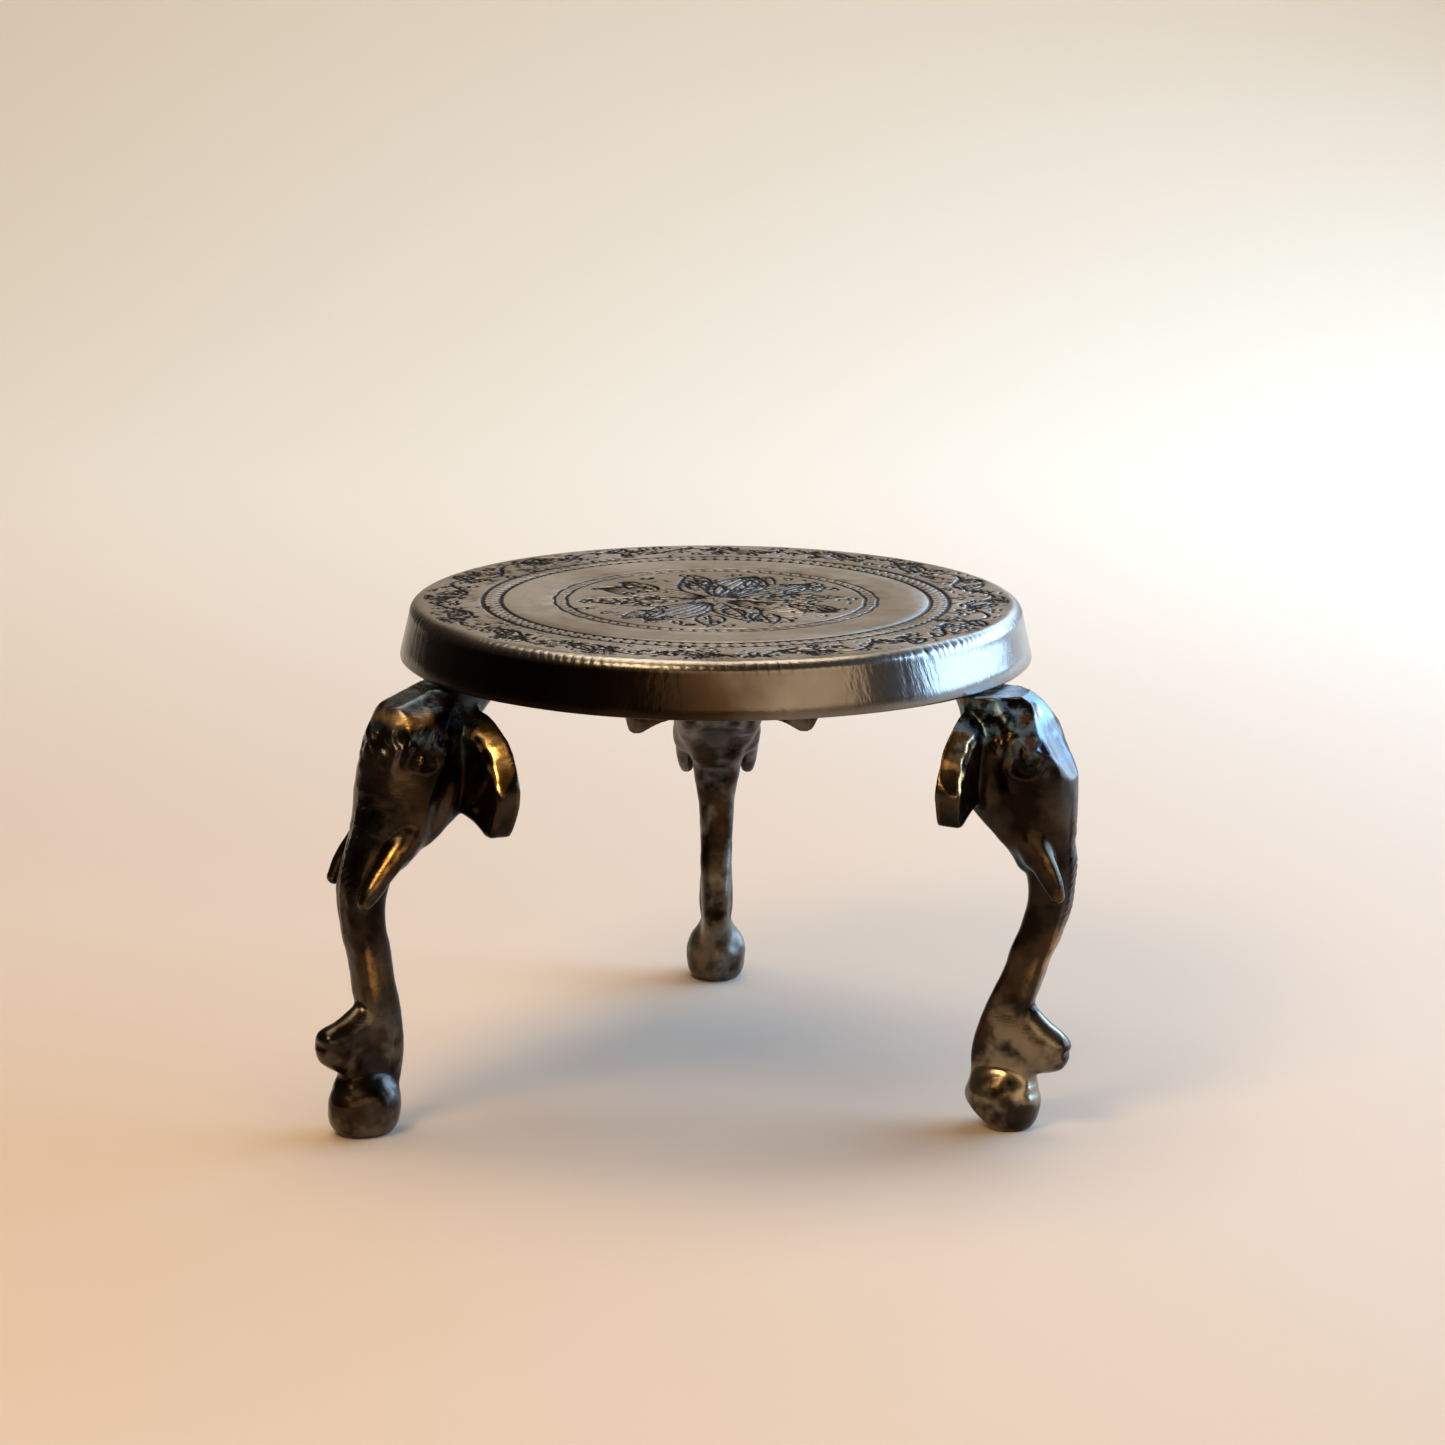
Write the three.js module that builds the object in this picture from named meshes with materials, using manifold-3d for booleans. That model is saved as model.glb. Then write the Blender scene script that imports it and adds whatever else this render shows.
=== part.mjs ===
// A small round brass tray standing on three cast elephant-head legs.
// Millimetres, +Z up. The tray's axis is the middle of the design frame, the floor is z = 0,
// and the finished group is moved so that the middle of its bounding box is over the origin.

import * as THREE from 'three';
import { ParametricGeometry } from 'three/addons/geometries/ParametricGeometry.js';
import { mergeVertices } from 'three/addons/utils/BufferGeometryUtils.js';
import Module from 'manifold-3d';

const wasm = await Module();
wasm.setup();

// ---- overall sizes ----
const STAND_HEIGHT = 86;
const TRAY_RADIUS = 55; // outside of the rim at its lower edge

// ---- tray ----
const RIM_HEIGHT = 9.6;
const RIM_TAPER = 1.6; // how much the rim narrows between its lower edge and its bevel
const BEVEL_DROP = 2.1; // height of the soft edge round the top face
const BEVEL_RUN = 2.3; // how far the soft edge comes in over the top
const PLATE_THICKNESS = 3.2;
const WALL_THICKNESS = 2.6;
const GROOVE_DEPTH = 0.35;
const GROOVE_WIDTH = 0.8;
const GROOVE_RADII = [26, 37.4, 40.6];

// ---- joint between tray and legs ----
const GAP = 0.3; // clearance between pieces that seat on each other
const PALM_THICKNESS = 3.4;
const PALM_END_MARGIN = 5.5; // palm beyond the screws' centres, towards the tray's axis
const PALM_SIDE_MARGIN = 3.6; // palm beyond the screws' centres, to each side
const PALM_CORNER = 4;
const BOSS_RADIUS = 4;
const BOSS_HEIGHT = 2;
const SCREW_INSET = 13; // from the rim's outside in to the screws
const SCREW_SPREAD = 8.6; // from the leg's middle line out to each screw
const SCREW_RADIUS = 1.5;
const SCREW_BITE = 3.4; // length of thread in the tray
const SCREW_HOLE_GAP = 0.25;
const SCREW_HEAD_RADIUS = 2.8;
const SCREW_HEAD_HEIGHT = 1.7;
const SLOT_WIDTH = 0.8;
const SLOT_DEPTH = 0.8;

// ---- leg casting ----
const CROWN_REACH = 3.8; // from the rim's outside out to the middle of the skull
const HEAD_DROP = 16.4; // from the rim's lower edge down to the middle of the skull
const CHIN_DROP = 13.6; // from the middle of the skull down to where the head becomes the trunk
const FOOT_REACH = 8.2; // from the rim's outside out to the middle of the foot
const FOOT_LENGTH = 13.4;
const FOOT_WIDTH = 11.2;
const FOOT_HEIGHT = 11.6;
const FOOT_SINK = 1.2; // how much of the sole is filed away to make it stand flat
const SOLE_SQUARENESS = 2.8; // 2 is a round foot, and more is squarer towards the sole
const CURL_REACH = 11; // from the middle of the foot out to the tip of the trunk
const CURL_HEIGHT = 15.6; // the tip of the trunk above the floor
const LIP_NOTCH = 0.8; // radius of the notch between the trunk's two lips
const JAW_HOLLOW = 15; // radius of the hollow under the jaw
const JAW_HOLLOW_INSET = 11.7; // from the middle of the skull in to the middle of that hollow
const JAW_HOLLOW_DROP = 5.2; // from the chin down to the middle of that hollow
const JAW_DEPTH = 3; // from the chin down to the top of that hollow
const EAR_THICKNESS = 4.2;
const EAR_SPAN = 19.4; // from the leg's middle line out to the edge of an ear
const EAR_DROP = 23.5; // from the rim's lower edge down to the tip of an ear
const EAR_SETBACK = 4.3; // from the rim's outside in to the back of the ears
const TUSK_RADIUS = 1.9;
const CROWN_EDGE = 5.2; // from the rim's outside out to a point on the flat filed on the crown
const CROWN_DROP = 0.9; // that point below the rim's lower edge
const CROWN_WIDTH = 5.6; // width of that flat, between the slopes filed to its two sides
const CROWN_TILT = 37; // those slopes, in degrees
const FOREHEAD_OUT = 8.2; // from the middle of the skull out to a point on the flat filed on a forehead
const FOREHEAD_UP = 5.9; // that point above the middle of the skull
const FOREHEAD_FACING = 32; // where that flat faces, in degrees above outwards
const HEEL_IN = 6.3; // from the middle of the foot in to a point on the flat filed on a heel
const HEEL_UP = 4.2; // that point above the floor
const HEEL_FACING = 239;

// ---- how each leg was set and filed by hand ----
// Its place round the tray, its lean and the further bend of its trunk (both outwards at the foot), the
// turn of the whole leg and the further twist of its head, how much lower its head hangs, how far the
// trunk bows out under the chin, how far in its neck reaches, the slope of the flat on its crown, whether
// its forehead and heel are filed, how much higher its ears end, and how much shorter its two tusks are.
// Angles are in degrees.
const LEGS = [
  {
    name: 'rear', around: 89.75, lean: 0, bend: 5, turn: 0, twist: 7, drop: 3.6, bow: 0.4,
    neck: 7, crown: 20, filed: false, ears: 2, tusks: [0.6, 0.6],
  },
  {
    name: 'left', around: 210, lean: 3, bend: 4.5, turn: 9, twist: 0, drop: 0, bow: 2,
    neck: 7, crown: 20, filed: false, ears: 0, tusks: [1, -1.4],
  },
  {
    name: 'right', around: 330, lean: -3, bend: -3.7, turn: 8, twist: 0, drop: 0, bow: 0.5,
    neck: 3.5, crown: 29, filed: true, ears: 1.9, tusks: [1.6, 5],
  },
];
const BEND_BELOW_SKULL = 8; // from the middle of the skull down to the middle of the bend
const BEND_SPREAD = 9; // half the height over which the bend comes in
const BOW_BELOW_CHIN = 5; // from the chin down to where the trunk bows out most
const BOW_SPREAD = 20; // half the height over which it bows out

// ---- mesh resolution ----
const TRAY_SEGMENTS = 64;
const BODY_AROUND = 16;
const BODY_ALONG = 26;
const SMALL_AROUND = 10;
const SMALL_ALONG = 7;
const SCREW_SEGMENTS = 12;
const CURVE_STEPS = 4;

// ---- heights and radii that follow from the sizes above ----
const rimBottom = STAND_HEIGHT - RIM_HEIGHT;
const plateBottom = STAND_HEIGHT - PLATE_THICKNESS;
const bossBottom = plateBottom - BOSS_HEIGHT;
const palmTop = bossBottom - GAP;
const palmBottom = palmTop - PALM_THICKNESS;
const bevelRadius = TRAY_RADIUS - RIM_TAPER;
const faceRadius = bevelRadius - BEVEL_RUN;
const innerRadius = bevelRadius - WALL_THICKNESS; // inside of the rim at the plate
const screwReach = TRAY_RADIUS - SCREW_INSET;
const palmInner = screwReach - PALM_END_MARGIN;
const palmHalfWidth = SCREW_SPREAD + PALM_SIDE_MARGIN;
const skullReach = TRAY_RADIUS + CROWN_REACH;
const skullZ = rimBottom - HEAD_DROP;
const footReach = TRAY_RADIUS + FOOT_REACH;

const SIDE = new THREE.Vector3(0, 1, 0);
const UP = new THREE.Vector3(0, 0, 1);
const OUT = new THREE.Vector3(1, 0, 0);

// ---- solids ----

function solid(geometry) {
  const bare = geometry.clone();
  for (const name of ['normal', 'uv']) bare.deleteAttribute(name);
  const merged = mergeVertices(bare, 1e-4);
  const index = merged.index.array;
  const kept = [];
  for (let i = 0; i < index.length; i += 3) {
    const [a, b, c] = [index[i], index[i + 1], index[i + 2]];
    if (a !== b && b !== c && c !== a) kept.push(a, b, c);
  }
  const vertProperties = new Float32Array(merged.attributes.position.array);
  const triVerts = new Uint32Array(kept);
  return new wasm.Manifold(new wasm.Mesh({ numProp: 3, vertProperties, triVerts }));
}

function toGeometry(manifold) {
  const mesh = manifold.getMesh();
  const geometry = new THREE.BufferGeometry();
  geometry.setAttribute('position', new THREE.BufferAttribute(mesh.vertProperties, 3));
  geometry.setIndex(new THREE.BufferAttribute(mesh.triVerts, 1));
  geometry.computeVertexNormals();
  return geometry;
}

function join(geometries) {
  return geometries.map(solid).reduce((whole, next) => whole.add(next));
}

// A closed body swept along stations { at: [x, y, z], depth, width }: each section is an ellipse
// across the path, with `width` along Y.
function loft(stations, around, along) {
  const spine = new THREE.CatmullRomCurve3(stations.map((s) => new THREE.Vector3(...s.at)));
  const sizes = new THREE.CatmullRomCurve3(stations.map((s) => new THREE.Vector3(s.depth, s.width, 0)));
  const place = (u, v, out) => {
    const t = THREE.MathUtils.clamp((v * along - 1) / (along - 2), 0, 1);
    out.copy(spine.getPoint(t));
    if (v === 0 || v === 1) return;
    const across = new THREE.Vector3().crossVectors(SIDE, spine.getTangent(t)).normalize();
    const size = sizes.getPoint(t);
    out.addScaledVector(across, size.x * Math.cos(2 * Math.PI * u));
    out.addScaledVector(SIDE, size.y * Math.sin(2 * Math.PI * u));
  };
  return new ParametricGeometry(place, around, along);
}

function ball(centre, semiAxes, around, rings) {
  const geometry = new THREE.SphereGeometry(1, around, rings);
  geometry.rotateX(Math.PI / 2);
  geometry.scale(...semiAxes);
  geometry.translate(...centre);
  return geometry;
}

// A cylinder standing on z, from `bottom` to `top`.
function post(x, y, bottom, top, radius) {
  const geometry = new THREE.CylinderGeometry(radius, radius, top - bottom, SCREW_SEGMENTS);
  geometry.rotateX(Math.PI / 2);
  geometry.translate(x, y, (top + bottom) / 2);
  return geometry;
}

// A closed outline of [radius, height] points turned round Z.
function turned(points, segments) {
  const outline = points.map(([r, z]) => new THREE.Vector2(r, z));
  const geometry = new THREE.LatheGeometry(outline, segments);
  geometry.rotateX(Math.PI / 2);
  return geometry;
}

// ---- tray ----

function groove(radius) {
  const half = GROOVE_WIDTH / 2;
  return [
    [radius - half, STAND_HEIGHT],
    [radius, STAND_HEIGHT - GROOVE_DEPTH],
    [radius + half, STAND_HEIGHT],
  ];
}

function bevel() {
  const points = [];
  for (let i = 0; i <= CURVE_STEPS; i += 1) {
    const angle = (Math.PI / 2) * (i / CURVE_STEPS);
    const r = faceRadius + BEVEL_RUN * Math.sin(angle);
    points.push([r, STAND_HEIGHT - BEVEL_DROP * (1 - Math.cos(angle))]);
  }
  return points;
}

function trayShell() {
  const outline = [
    [0, STAND_HEIGHT],
    ...GROOVE_RADII.flatMap(groove),
    ...bevel(),
    [TRAY_RADIUS, rimBottom + 0.4],
    [TRAY_RADIUS - 0.4, rimBottom],
    [TRAY_RADIUS - WALL_THICKNESS, rimBottom],
    [innerRadius, plateBottom - 1.2],
    [innerRadius - 1.2, plateBottom],
    [0, plateBottom],
  ];
  return turned(outline.reverse(), TRAY_SEGMENTS);
}

function screwPlaces() {
  return LEGS.flatMap((leg) => {
    const angle = THREE.MathUtils.degToRad(leg.around);
    return [-1, 1].map((side) => {
      const place = new THREE.Vector3(screwReach, side * SCREW_SPREAD, 0).applyAxisAngle(UP, angle);
      return { name: `${leg.name}_${side < 0 ? 'a' : 'b'}`, place };
    });
  });
}

function trayTop() {
  const holeTop = palmTop + GAP + SCREW_BITE + GAP;
  let body = solid(trayShell());
  for (const { place } of screwPlaces()) {
    body = body.add(solid(post(place.x, place.y, bossBottom, plateBottom + 1, BOSS_RADIUS)));
  }
  for (const { place } of screwPlaces()) {
    const bore = post(place.x, place.y, bossBottom - 1, holeTop, SCREW_RADIUS + SCREW_HOLE_GAP);
    body = body.subtract(solid(bore));
  }
  return toGeometry(body);
}

// Everything that a leg has to keep clear of: the space of the tray, grown by the seating gap.
function trayEnvelope() {
  const outline = [
    [0, palmTop],
    [innerRadius - GAP, palmTop],
    [innerRadius - GAP, rimBottom - GAP],
    [TRAY_RADIUS * 2, rimBottom - GAP],
    [TRAY_RADIUS * 2, STAND_HEIGHT * 2],
    [0, STAND_HEIGHT * 2],
  ];
  return turned(outline, TRAY_SEGMENTS);
}

// ---- leg: x runs outwards from the tray's axis, y across the leg ----

function headAndTrunk(leg) {
  const crownZ = skullZ - leg.drop;
  const chinZ = crownZ - CHIN_DROP;
  const down = (share) => THREE.MathUtils.lerp(chinZ, CURL_HEIGHT, share);
  const stations = [
    { at: [skullReach - 2.2, 0, crownZ + 16], depth: 5.6, width: 5.4 },
    { at: [skullReach - 1.2, 0, crownZ + 11.5], depth: 8.4, width: 7.4 },
    { at: [skullReach - 0.6, 0, crownZ + 6], depth: 9.6, width: 8.8 },
    { at: [skullReach + 0.6, 0, crownZ], depth: 10.1, width: 9 },
    { at: [skullReach + 2.6, 0, crownZ - 5], depth: 8.9, width: 8.1 },
    { at: [skullReach + 5.2, 0, crownZ - 10], depth: 6.2, width: 6.1 },
    { at: [skullReach + 7, 0, chinZ], depth: 4.2, width: 4.8 },
    { at: [skullReach + 7.5, 0, down(0.16)], depth: 3.5, width: 4.1 },
    { at: [skullReach + 6.9, 0, down(0.34)], depth: 3.4, width: 3.5 },
    { at: [skullReach + 5.8, 0, down(0.5)], depth: 3.4, width: 3.2 },
    { at: [skullReach + 4.8, 0, down(0.68)], depth: 3.4, width: 3 },
    { at: [footReach - 0.8, 0, down(0.82)], depth: 3.7, width: 2.9 },
    { at: [footReach - 1.4, 0, CURL_HEIGHT], depth: 4.6, width: 2.8 },
    { at: [footReach - 0.8, 0, FOOT_HEIGHT], depth: 5.6, width: 2.6 },
    { at: [footReach, 0, FOOT_HEIGHT * 0.6], depth: 5.4, width: 3.4 },
  ];
  for (const { at } of stations) {
    const away = Math.abs(at[2] - chinZ + BOW_BELOW_CHIN);
    at[0] += leg.bow * (1 - THREE.MathUtils.smoothstep(away, 0, BOW_SPREAD));
  }
  return loft(stations, BODY_AROUND, BODY_ALONG);
}

// Each section of the curl: how far back from its tip, and how far it reaches up, down and to each side.
const CURL_SECTIONS = [
  { back: 13, up: 7.8, down: 7.2, side: 2.9 },
  { back: 9.5, up: 7.6, down: 6.8, side: 3 },
  { back: 7, up: 5.9, down: 6.2, side: 3 },
  { back: 4.4, up: 4, down: 5.2, side: 2.9 },
  { back: 2, up: 2.8, down: 4.2, side: 2.6 },
  { back: 0.7, up: 1.9, down: 3.2, side: 2.1 },
  { back: 0, up: 1.2, down: 2, side: 1.5 },
];

function trunkCurl() {
  const tip = footReach + CURL_REACH;
  return loft(CURL_SECTIONS.map(({ back, up, down, side }) => ({
    at: [tip - back, 0, CURL_HEIGHT + (up - down) / 2],
    depth: (up + down) / 2,
    width: side,
  })), SMALL_AROUND + 2, SMALL_ALONG + 3);
}

// The hollow between the jaw and the neck: a cylinder across the leg, down to just under the chin.
function jawHollow(chinZ) {
  const across = 40;
  const hollow = new THREE.CylinderGeometry(JAW_HOLLOW, JAW_HOLLOW, across, TRAY_SEGMENTS);
  hollow.translate(skullReach - JAW_HOLLOW_INSET, 0, chinZ - JAW_HOLLOW_DROP);
  const above = new THREE.BoxGeometry(across * 2, across * 2, across);
  above.translate(skullReach, 0, chinZ - JAW_DEPTH + across / 2);
  return solid(hollow).intersect(solid(above));
}

// Each section of a tusk: its place out from the middle of the skull, aside and above the chin, how thick
// it is, and its share of what was cut off the tusk's length.
const TUSK_SECTIONS = [
  { out: 4.4, aside: 5.4, up: 8, thick: 1.1, cut: 0 },
  { out: 5.8, aside: 5.6, up: 5, thick: 1.3, cut: 0 },
  { out: 8.4, aside: 5.8, up: 1.4, thick: 1.15, cut: 0.4 },
  { out: 10.6, aside: 5.8, up: -2, thick: 1, cut: 1 },
  { out: 12.2, aside: 5.7, up: -4.8, thick: 0.7, cut: 1 },
];

function tusk(side, leg) {
  const chinZ = skullZ - leg.drop - CHIN_DROP;
  const shorter = leg.tusks[side < 0 ? 0 : 1];
  const stations = TUSK_SECTIONS.map(({ out, aside, up, thick, cut }) => ({
    at: [skullReach + out - shorter * cut * 0.6, side * aside, chinZ + up + shorter * cut],
    depth: TUSK_RADIUS * thick,
    width: TUSK_RADIUS * thick,
  }));
  return loft(stations, SMALL_AROUND, SMALL_ALONG);
}

// One ear, drawn in the plane across the leg: right is outwards from the middle line, up is up.
function ear(side, leg) {
  const top = rimBottom - 2.6 - leg.drop;
  const tip = rimBottom - EAR_DROP - leg.drop + leg.ears;
  const outline = new THREE.Shape();
  outline.moveTo(0, top - 1);
  outline.bezierCurveTo(EAR_SPAN * 0.35, top + 0.6, EAR_SPAN * 0.78, top - 1.5, EAR_SPAN * 0.94, top - 9);
  outline.bezierCurveTo(EAR_SPAN * 1.03, top - 13, EAR_SPAN * 1.02, tip + 7, EAR_SPAN * 0.9, tip + 1.2);
  outline.quadraticCurveTo(EAR_SPAN * 0.84, tip - 0.4, EAR_SPAN * 0.75, tip + 0.3);
  outline.bezierCurveTo(EAR_SPAN * 0.66, tip + 1.4, EAR_SPAN * 0.55, tip + 2.3, EAR_SPAN * 0.36, tip + 2.9);
  outline.lineTo(0, tip + 3.6);
  const geometry = new THREE.ExtrudeGeometry(outline, {
    depth: EAR_THICKNESS,
    bevelEnabled: false,
    curveSegments: CURVE_STEPS,
  });
  geometry.applyMatrix4(new THREE.Matrix4().makeBasis(SIDE, UP, OUT));
  geometry.translate(TRAY_RADIUS - EAR_SETBACK, 0, 0);
  if (side < 0) {
    geometry.rotateX(Math.PI);
    geometry.scale(1, 1, -1);
    flip(geometry);
  }
  return geometry;
}

// Turns a mirrored geometry's faces outwards again.
function flip(geometry) {
  const position = geometry.attributes.position;
  const a = new THREE.Vector3();
  const b = new THREE.Vector3();
  for (let i = 0; i < position.count; i += 3) {
    a.fromBufferAttribute(position, i);
    b.fromBufferAttribute(position, i + 1);
    position.setXYZ(i, b.x, b.y, b.z);
    position.setXYZ(i + 1, a.x, a.y, a.z);
  }
}

// What a flat file takes off: a block whose face passes through a point. `facing` is the direction of
// that face above outwards, and `tilt` turns it to one side.
function filing(through, facing, tilt = 0) {
  const size = 50;
  const geometry = new THREE.BoxGeometry(size, size, size);
  geometry.translate(0, 0, size / 2);
  geometry.rotateX(THREE.MathUtils.degToRad(-tilt));
  geometry.rotateY(THREE.MathUtils.degToRad(90 - facing));
  geometry.translate(...through);
  return solid(geometry);
}

function filings(leg) {
  const crown = [TRAY_RADIUS + CROWN_EDGE, 0, rimBottom - CROWN_DROP - leg.drop];
  const cuts = [filing(crown, 90 - leg.crown)];
  for (const side of [-1, 1]) {
    cuts.push(filing([crown[0], (side * CROWN_WIDTH) / 2, crown[2]], 90 - leg.crown, side * CROWN_TILT));
  }
  if (leg.filed) {
    const forehead = [skullReach + FOREHEAD_OUT, 0, skullZ - leg.drop + FOREHEAD_UP];
    cuts.push(filing(forehead, FOREHEAD_FACING));
    cuts.push(filing([footReach - HEEL_IN, 0, HEEL_UP], HEEL_FACING));
  }
  return cuts;
}

function lipNotch() {
  const geometry = new THREE.CylinderGeometry(LIP_NOTCH, LIP_NOTCH, 12, 12);
  geometry.translate(footReach + CURL_REACH + 0.1, 0, CURL_HEIGHT - 0.6);
  return geometry;
}

function foot() {
  const geometry = ball([0, 0, 0], [1, 1, 1], BODY_AROUND, SMALL_AROUND);
  const position = geometry.attributes.position;
  for (let i = 0; i < position.count; i += 1) {
    const depth = THREE.MathUtils.clamp(-position.getZ(i), 0, 0.99);
    const round = Math.sqrt(1 - depth ** 2);
    const square = (1 - depth ** SOLE_SQUARENESS) ** (1 / SOLE_SQUARENESS);
    position.setX(i, (position.getX(i) * square) / round);
    position.setY(i, (position.getY(i) * square) / round);
  }
  geometry.scale(FOOT_LENGTH / 2, FOOT_WIDTH / 2, FOOT_HEIGHT / 2);
  geometry.translate(footReach, 0, FOOT_HEIGHT / 2 - FOOT_SINK);
  return geometry;
}

function neck(leg) {
  const lower = new THREE.Vector3(TRAY_RADIUS - 0.6, 0, rimBottom - 9 - leg.drop);
  const upper = new THREE.Vector3(TRAY_RADIUS - leg.neck, 0, palmBottom + 1);
  const middle = lower.clone().lerp(upper, 0.5).add(new THREE.Vector3(1.2, 0, 0));
  return loft([
    { at: lower.toArray(), depth: 6.2, width: 6 },
    { at: middle.toArray(), depth: 5.7, width: 6 },
    { at: upper.toArray(), depth: 5.6, width: 6.2 },
  ], BODY_AROUND, SMALL_ALONG);
}

function palm() {
  const outer = TRAY_RADIUS + 2;
  const outline = new THREE.Shape();
  outline.moveTo(outer, -palmHalfWidth);
  outline.lineTo(outer, palmHalfWidth);
  outline.lineTo(palmInner + PALM_CORNER, palmHalfWidth);
  outline.absarc(palmInner + PALM_CORNER, palmHalfWidth - PALM_CORNER, PALM_CORNER, Math.PI / 2, Math.PI);
  outline.absarc(palmInner + PALM_CORNER, PALM_CORNER - palmHalfWidth, PALM_CORNER, Math.PI, Math.PI * 1.5);
  outline.closePath();
  const plate = new THREE.ExtrudeGeometry(outline, {
    depth: PALM_THICKNESS + 1,
    bevelEnabled: false,
    curveSegments: CURVE_STEPS,
  });
  plate.translate(0, 0, palmBottom);
  return plate;
}

// Bends the trunk about a line across the leg, and twists the head about a line up through the foot.
function bent(geometry, leg) {
  const position = geometry.attributes.position;
  const pivot = new THREE.Vector3(footReach, 0, skullZ - BEND_BELOW_SKULL);
  const point = new THREE.Vector3();
  for (let i = 0; i < position.count; i += 1) {
    point.fromBufferAttribute(position, i).sub(pivot);
    const share = THREE.MathUtils.smoothstep(-point.z, -BEND_SPREAD, BEND_SPREAD);
    point.applyAxisAngle(SIDE, THREE.MathUtils.degToRad(-leg.bend * share));
    point.applyAxisAngle(UP, THREE.MathUtils.degToRad(leg.twist * (1 - share))).add(pivot);
    position.setXYZ(i, ...point.toArray());
  }
  return geometry;
}

function legCasting(leg, envelope) {
  let body = join([headAndTrunk(leg), trunkCurl()]).subtract(jawHollow(skullZ - leg.drop - CHIN_DROP));
  body = body.subtract(solid(lipNotch()));
  for (const piece of [tusk(1, leg), tusk(-1, leg), foot()]) {
    body = body.add(solid(piece));
  }
  for (const cut of filings(leg)) {
    body = body.subtract(cut);
  }
  for (const piece of [ear(1, leg), ear(-1, leg), neck(leg)]) {
    body = body.add(solid(piece));
  }
  const figure = bent(toGeometry(body), leg);
  figure.translate(-footReach, 0, BEND_BELOW_SKULL - skullZ);
  figure.rotateY(THREE.MathUtils.degToRad(-leg.lean));
  figure.rotateZ(THREE.MathUtils.degToRad(leg.turn));
  figure.translate(footReach, 0, skullZ - BEND_BELOW_SKULL);

  let casting = join([figure, palm()]);
  for (const side of [-1, 1]) {
    const [bottom, top] = [palmBottom - 2, palmTop + 2];
    const hole = post(screwReach, side * SCREW_SPREAD, bottom, top, SCREW_RADIUS + SCREW_HOLE_GAP);
    casting = casting.subtract(solid(hole));
  }
  const placed = toGeometry(casting);
  placed.rotateZ(THREE.MathUtils.degToRad(leg.around));

  const below = new THREE.BoxGeometry(TRAY_RADIUS * 6, TRAY_RADIUS * 6, 20);
  below.translate(0, 0, -10);
  return toGeometry(solid(placed).subtract(envelope).subtract(solid(below)));
}

// ---- screw: head down, shank up, its seat at z = 0 ----

function screw() {
  const shank = GAP + PALM_THICKNESS + GAP + SCREW_BITE;
  const outline = [
    [0, -SCREW_HEAD_HEIGHT],
    [SCREW_HEAD_RADIUS * 0.55, -SCREW_HEAD_HEIGHT * 0.9],
    [SCREW_HEAD_RADIUS * 0.88, -SCREW_HEAD_HEIGHT * 0.55],
    [SCREW_HEAD_RADIUS, 0],
    [SCREW_RADIUS, 0],
    [SCREW_RADIUS, shank - 0.5],
    [SCREW_RADIUS - 0.5, shank],
    [0, shank],
  ];
  const slot = new THREE.BoxGeometry(SCREW_HEAD_RADIUS * 3, SLOT_WIDTH, SLOT_DEPTH * 2);
  slot.translate(0, 0, -SCREW_HEAD_HEIGHT);
  return toGeometry(solid(turned(outline, SCREW_SEGMENTS)).subtract(solid(slot)));
}

// ---- assembly ----

const trayBrass = new THREE.MeshStandardMaterial({ color: 0x8a7350, roughness: 0.42, metalness: 1 });
const legBrass = new THREE.MeshStandardMaterial({ color: 0x5f4a2c, roughness: 0.38, metalness: 1 });
const screwBrass = new THREE.MeshStandardMaterial({ color: 0xa8864a, roughness: 0.35, metalness: 1 });

function part(name, geometry, material) {
  const mesh = new THREE.Mesh(geometry, material);
  mesh.name = name;
  return mesh;
}

const group = new THREE.Group();
group.add(part('tray_top', trayTop(), trayBrass));

const envelope = solid(trayEnvelope());
for (const leg of LEGS) {
  group.add(part(`leg_${leg.name}`, legCasting(leg, envelope), legBrass));
}

const screwGeometry = screw();
screwPlaces().forEach(({ name, place }, i) => {
  const mesh = part(`screw_${name}`, screwGeometry, screwBrass);
  mesh.position.set(place.x, place.y, palmBottom - GAP);
  mesh.rotation.z = 0.7 * i;
  group.add(mesh);
});

const box = new THREE.Box3().setFromObject(group);
const middle = box.getCenter(new THREE.Vector3());
group.position.set(-middle.x, -middle.y, -box.min.z);

export default group;
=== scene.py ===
import math

import bpy
import numpy as np
from mathutils import Matrix, Vector


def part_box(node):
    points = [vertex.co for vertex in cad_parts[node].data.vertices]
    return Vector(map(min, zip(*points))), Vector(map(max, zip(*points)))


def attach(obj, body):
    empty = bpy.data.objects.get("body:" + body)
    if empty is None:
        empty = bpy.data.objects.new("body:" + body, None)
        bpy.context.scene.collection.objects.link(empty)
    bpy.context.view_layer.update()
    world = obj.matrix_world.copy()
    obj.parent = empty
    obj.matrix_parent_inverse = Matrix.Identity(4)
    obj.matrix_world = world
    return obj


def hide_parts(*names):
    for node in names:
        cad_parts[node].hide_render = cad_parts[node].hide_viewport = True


# An old brass tray on three cast elephant-head legs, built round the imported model.
# Blender objects are in metres. The sculpting below works in millimetres and is scaled at the end.

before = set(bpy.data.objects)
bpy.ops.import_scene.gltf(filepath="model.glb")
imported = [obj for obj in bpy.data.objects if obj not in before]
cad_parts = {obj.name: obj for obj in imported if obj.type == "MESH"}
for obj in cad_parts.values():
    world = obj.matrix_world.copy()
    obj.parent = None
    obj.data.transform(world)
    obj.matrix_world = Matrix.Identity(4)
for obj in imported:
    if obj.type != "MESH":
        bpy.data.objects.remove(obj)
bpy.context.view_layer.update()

MM = 0.001
TURN = 2 * math.pi
BODY = "root"

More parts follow.
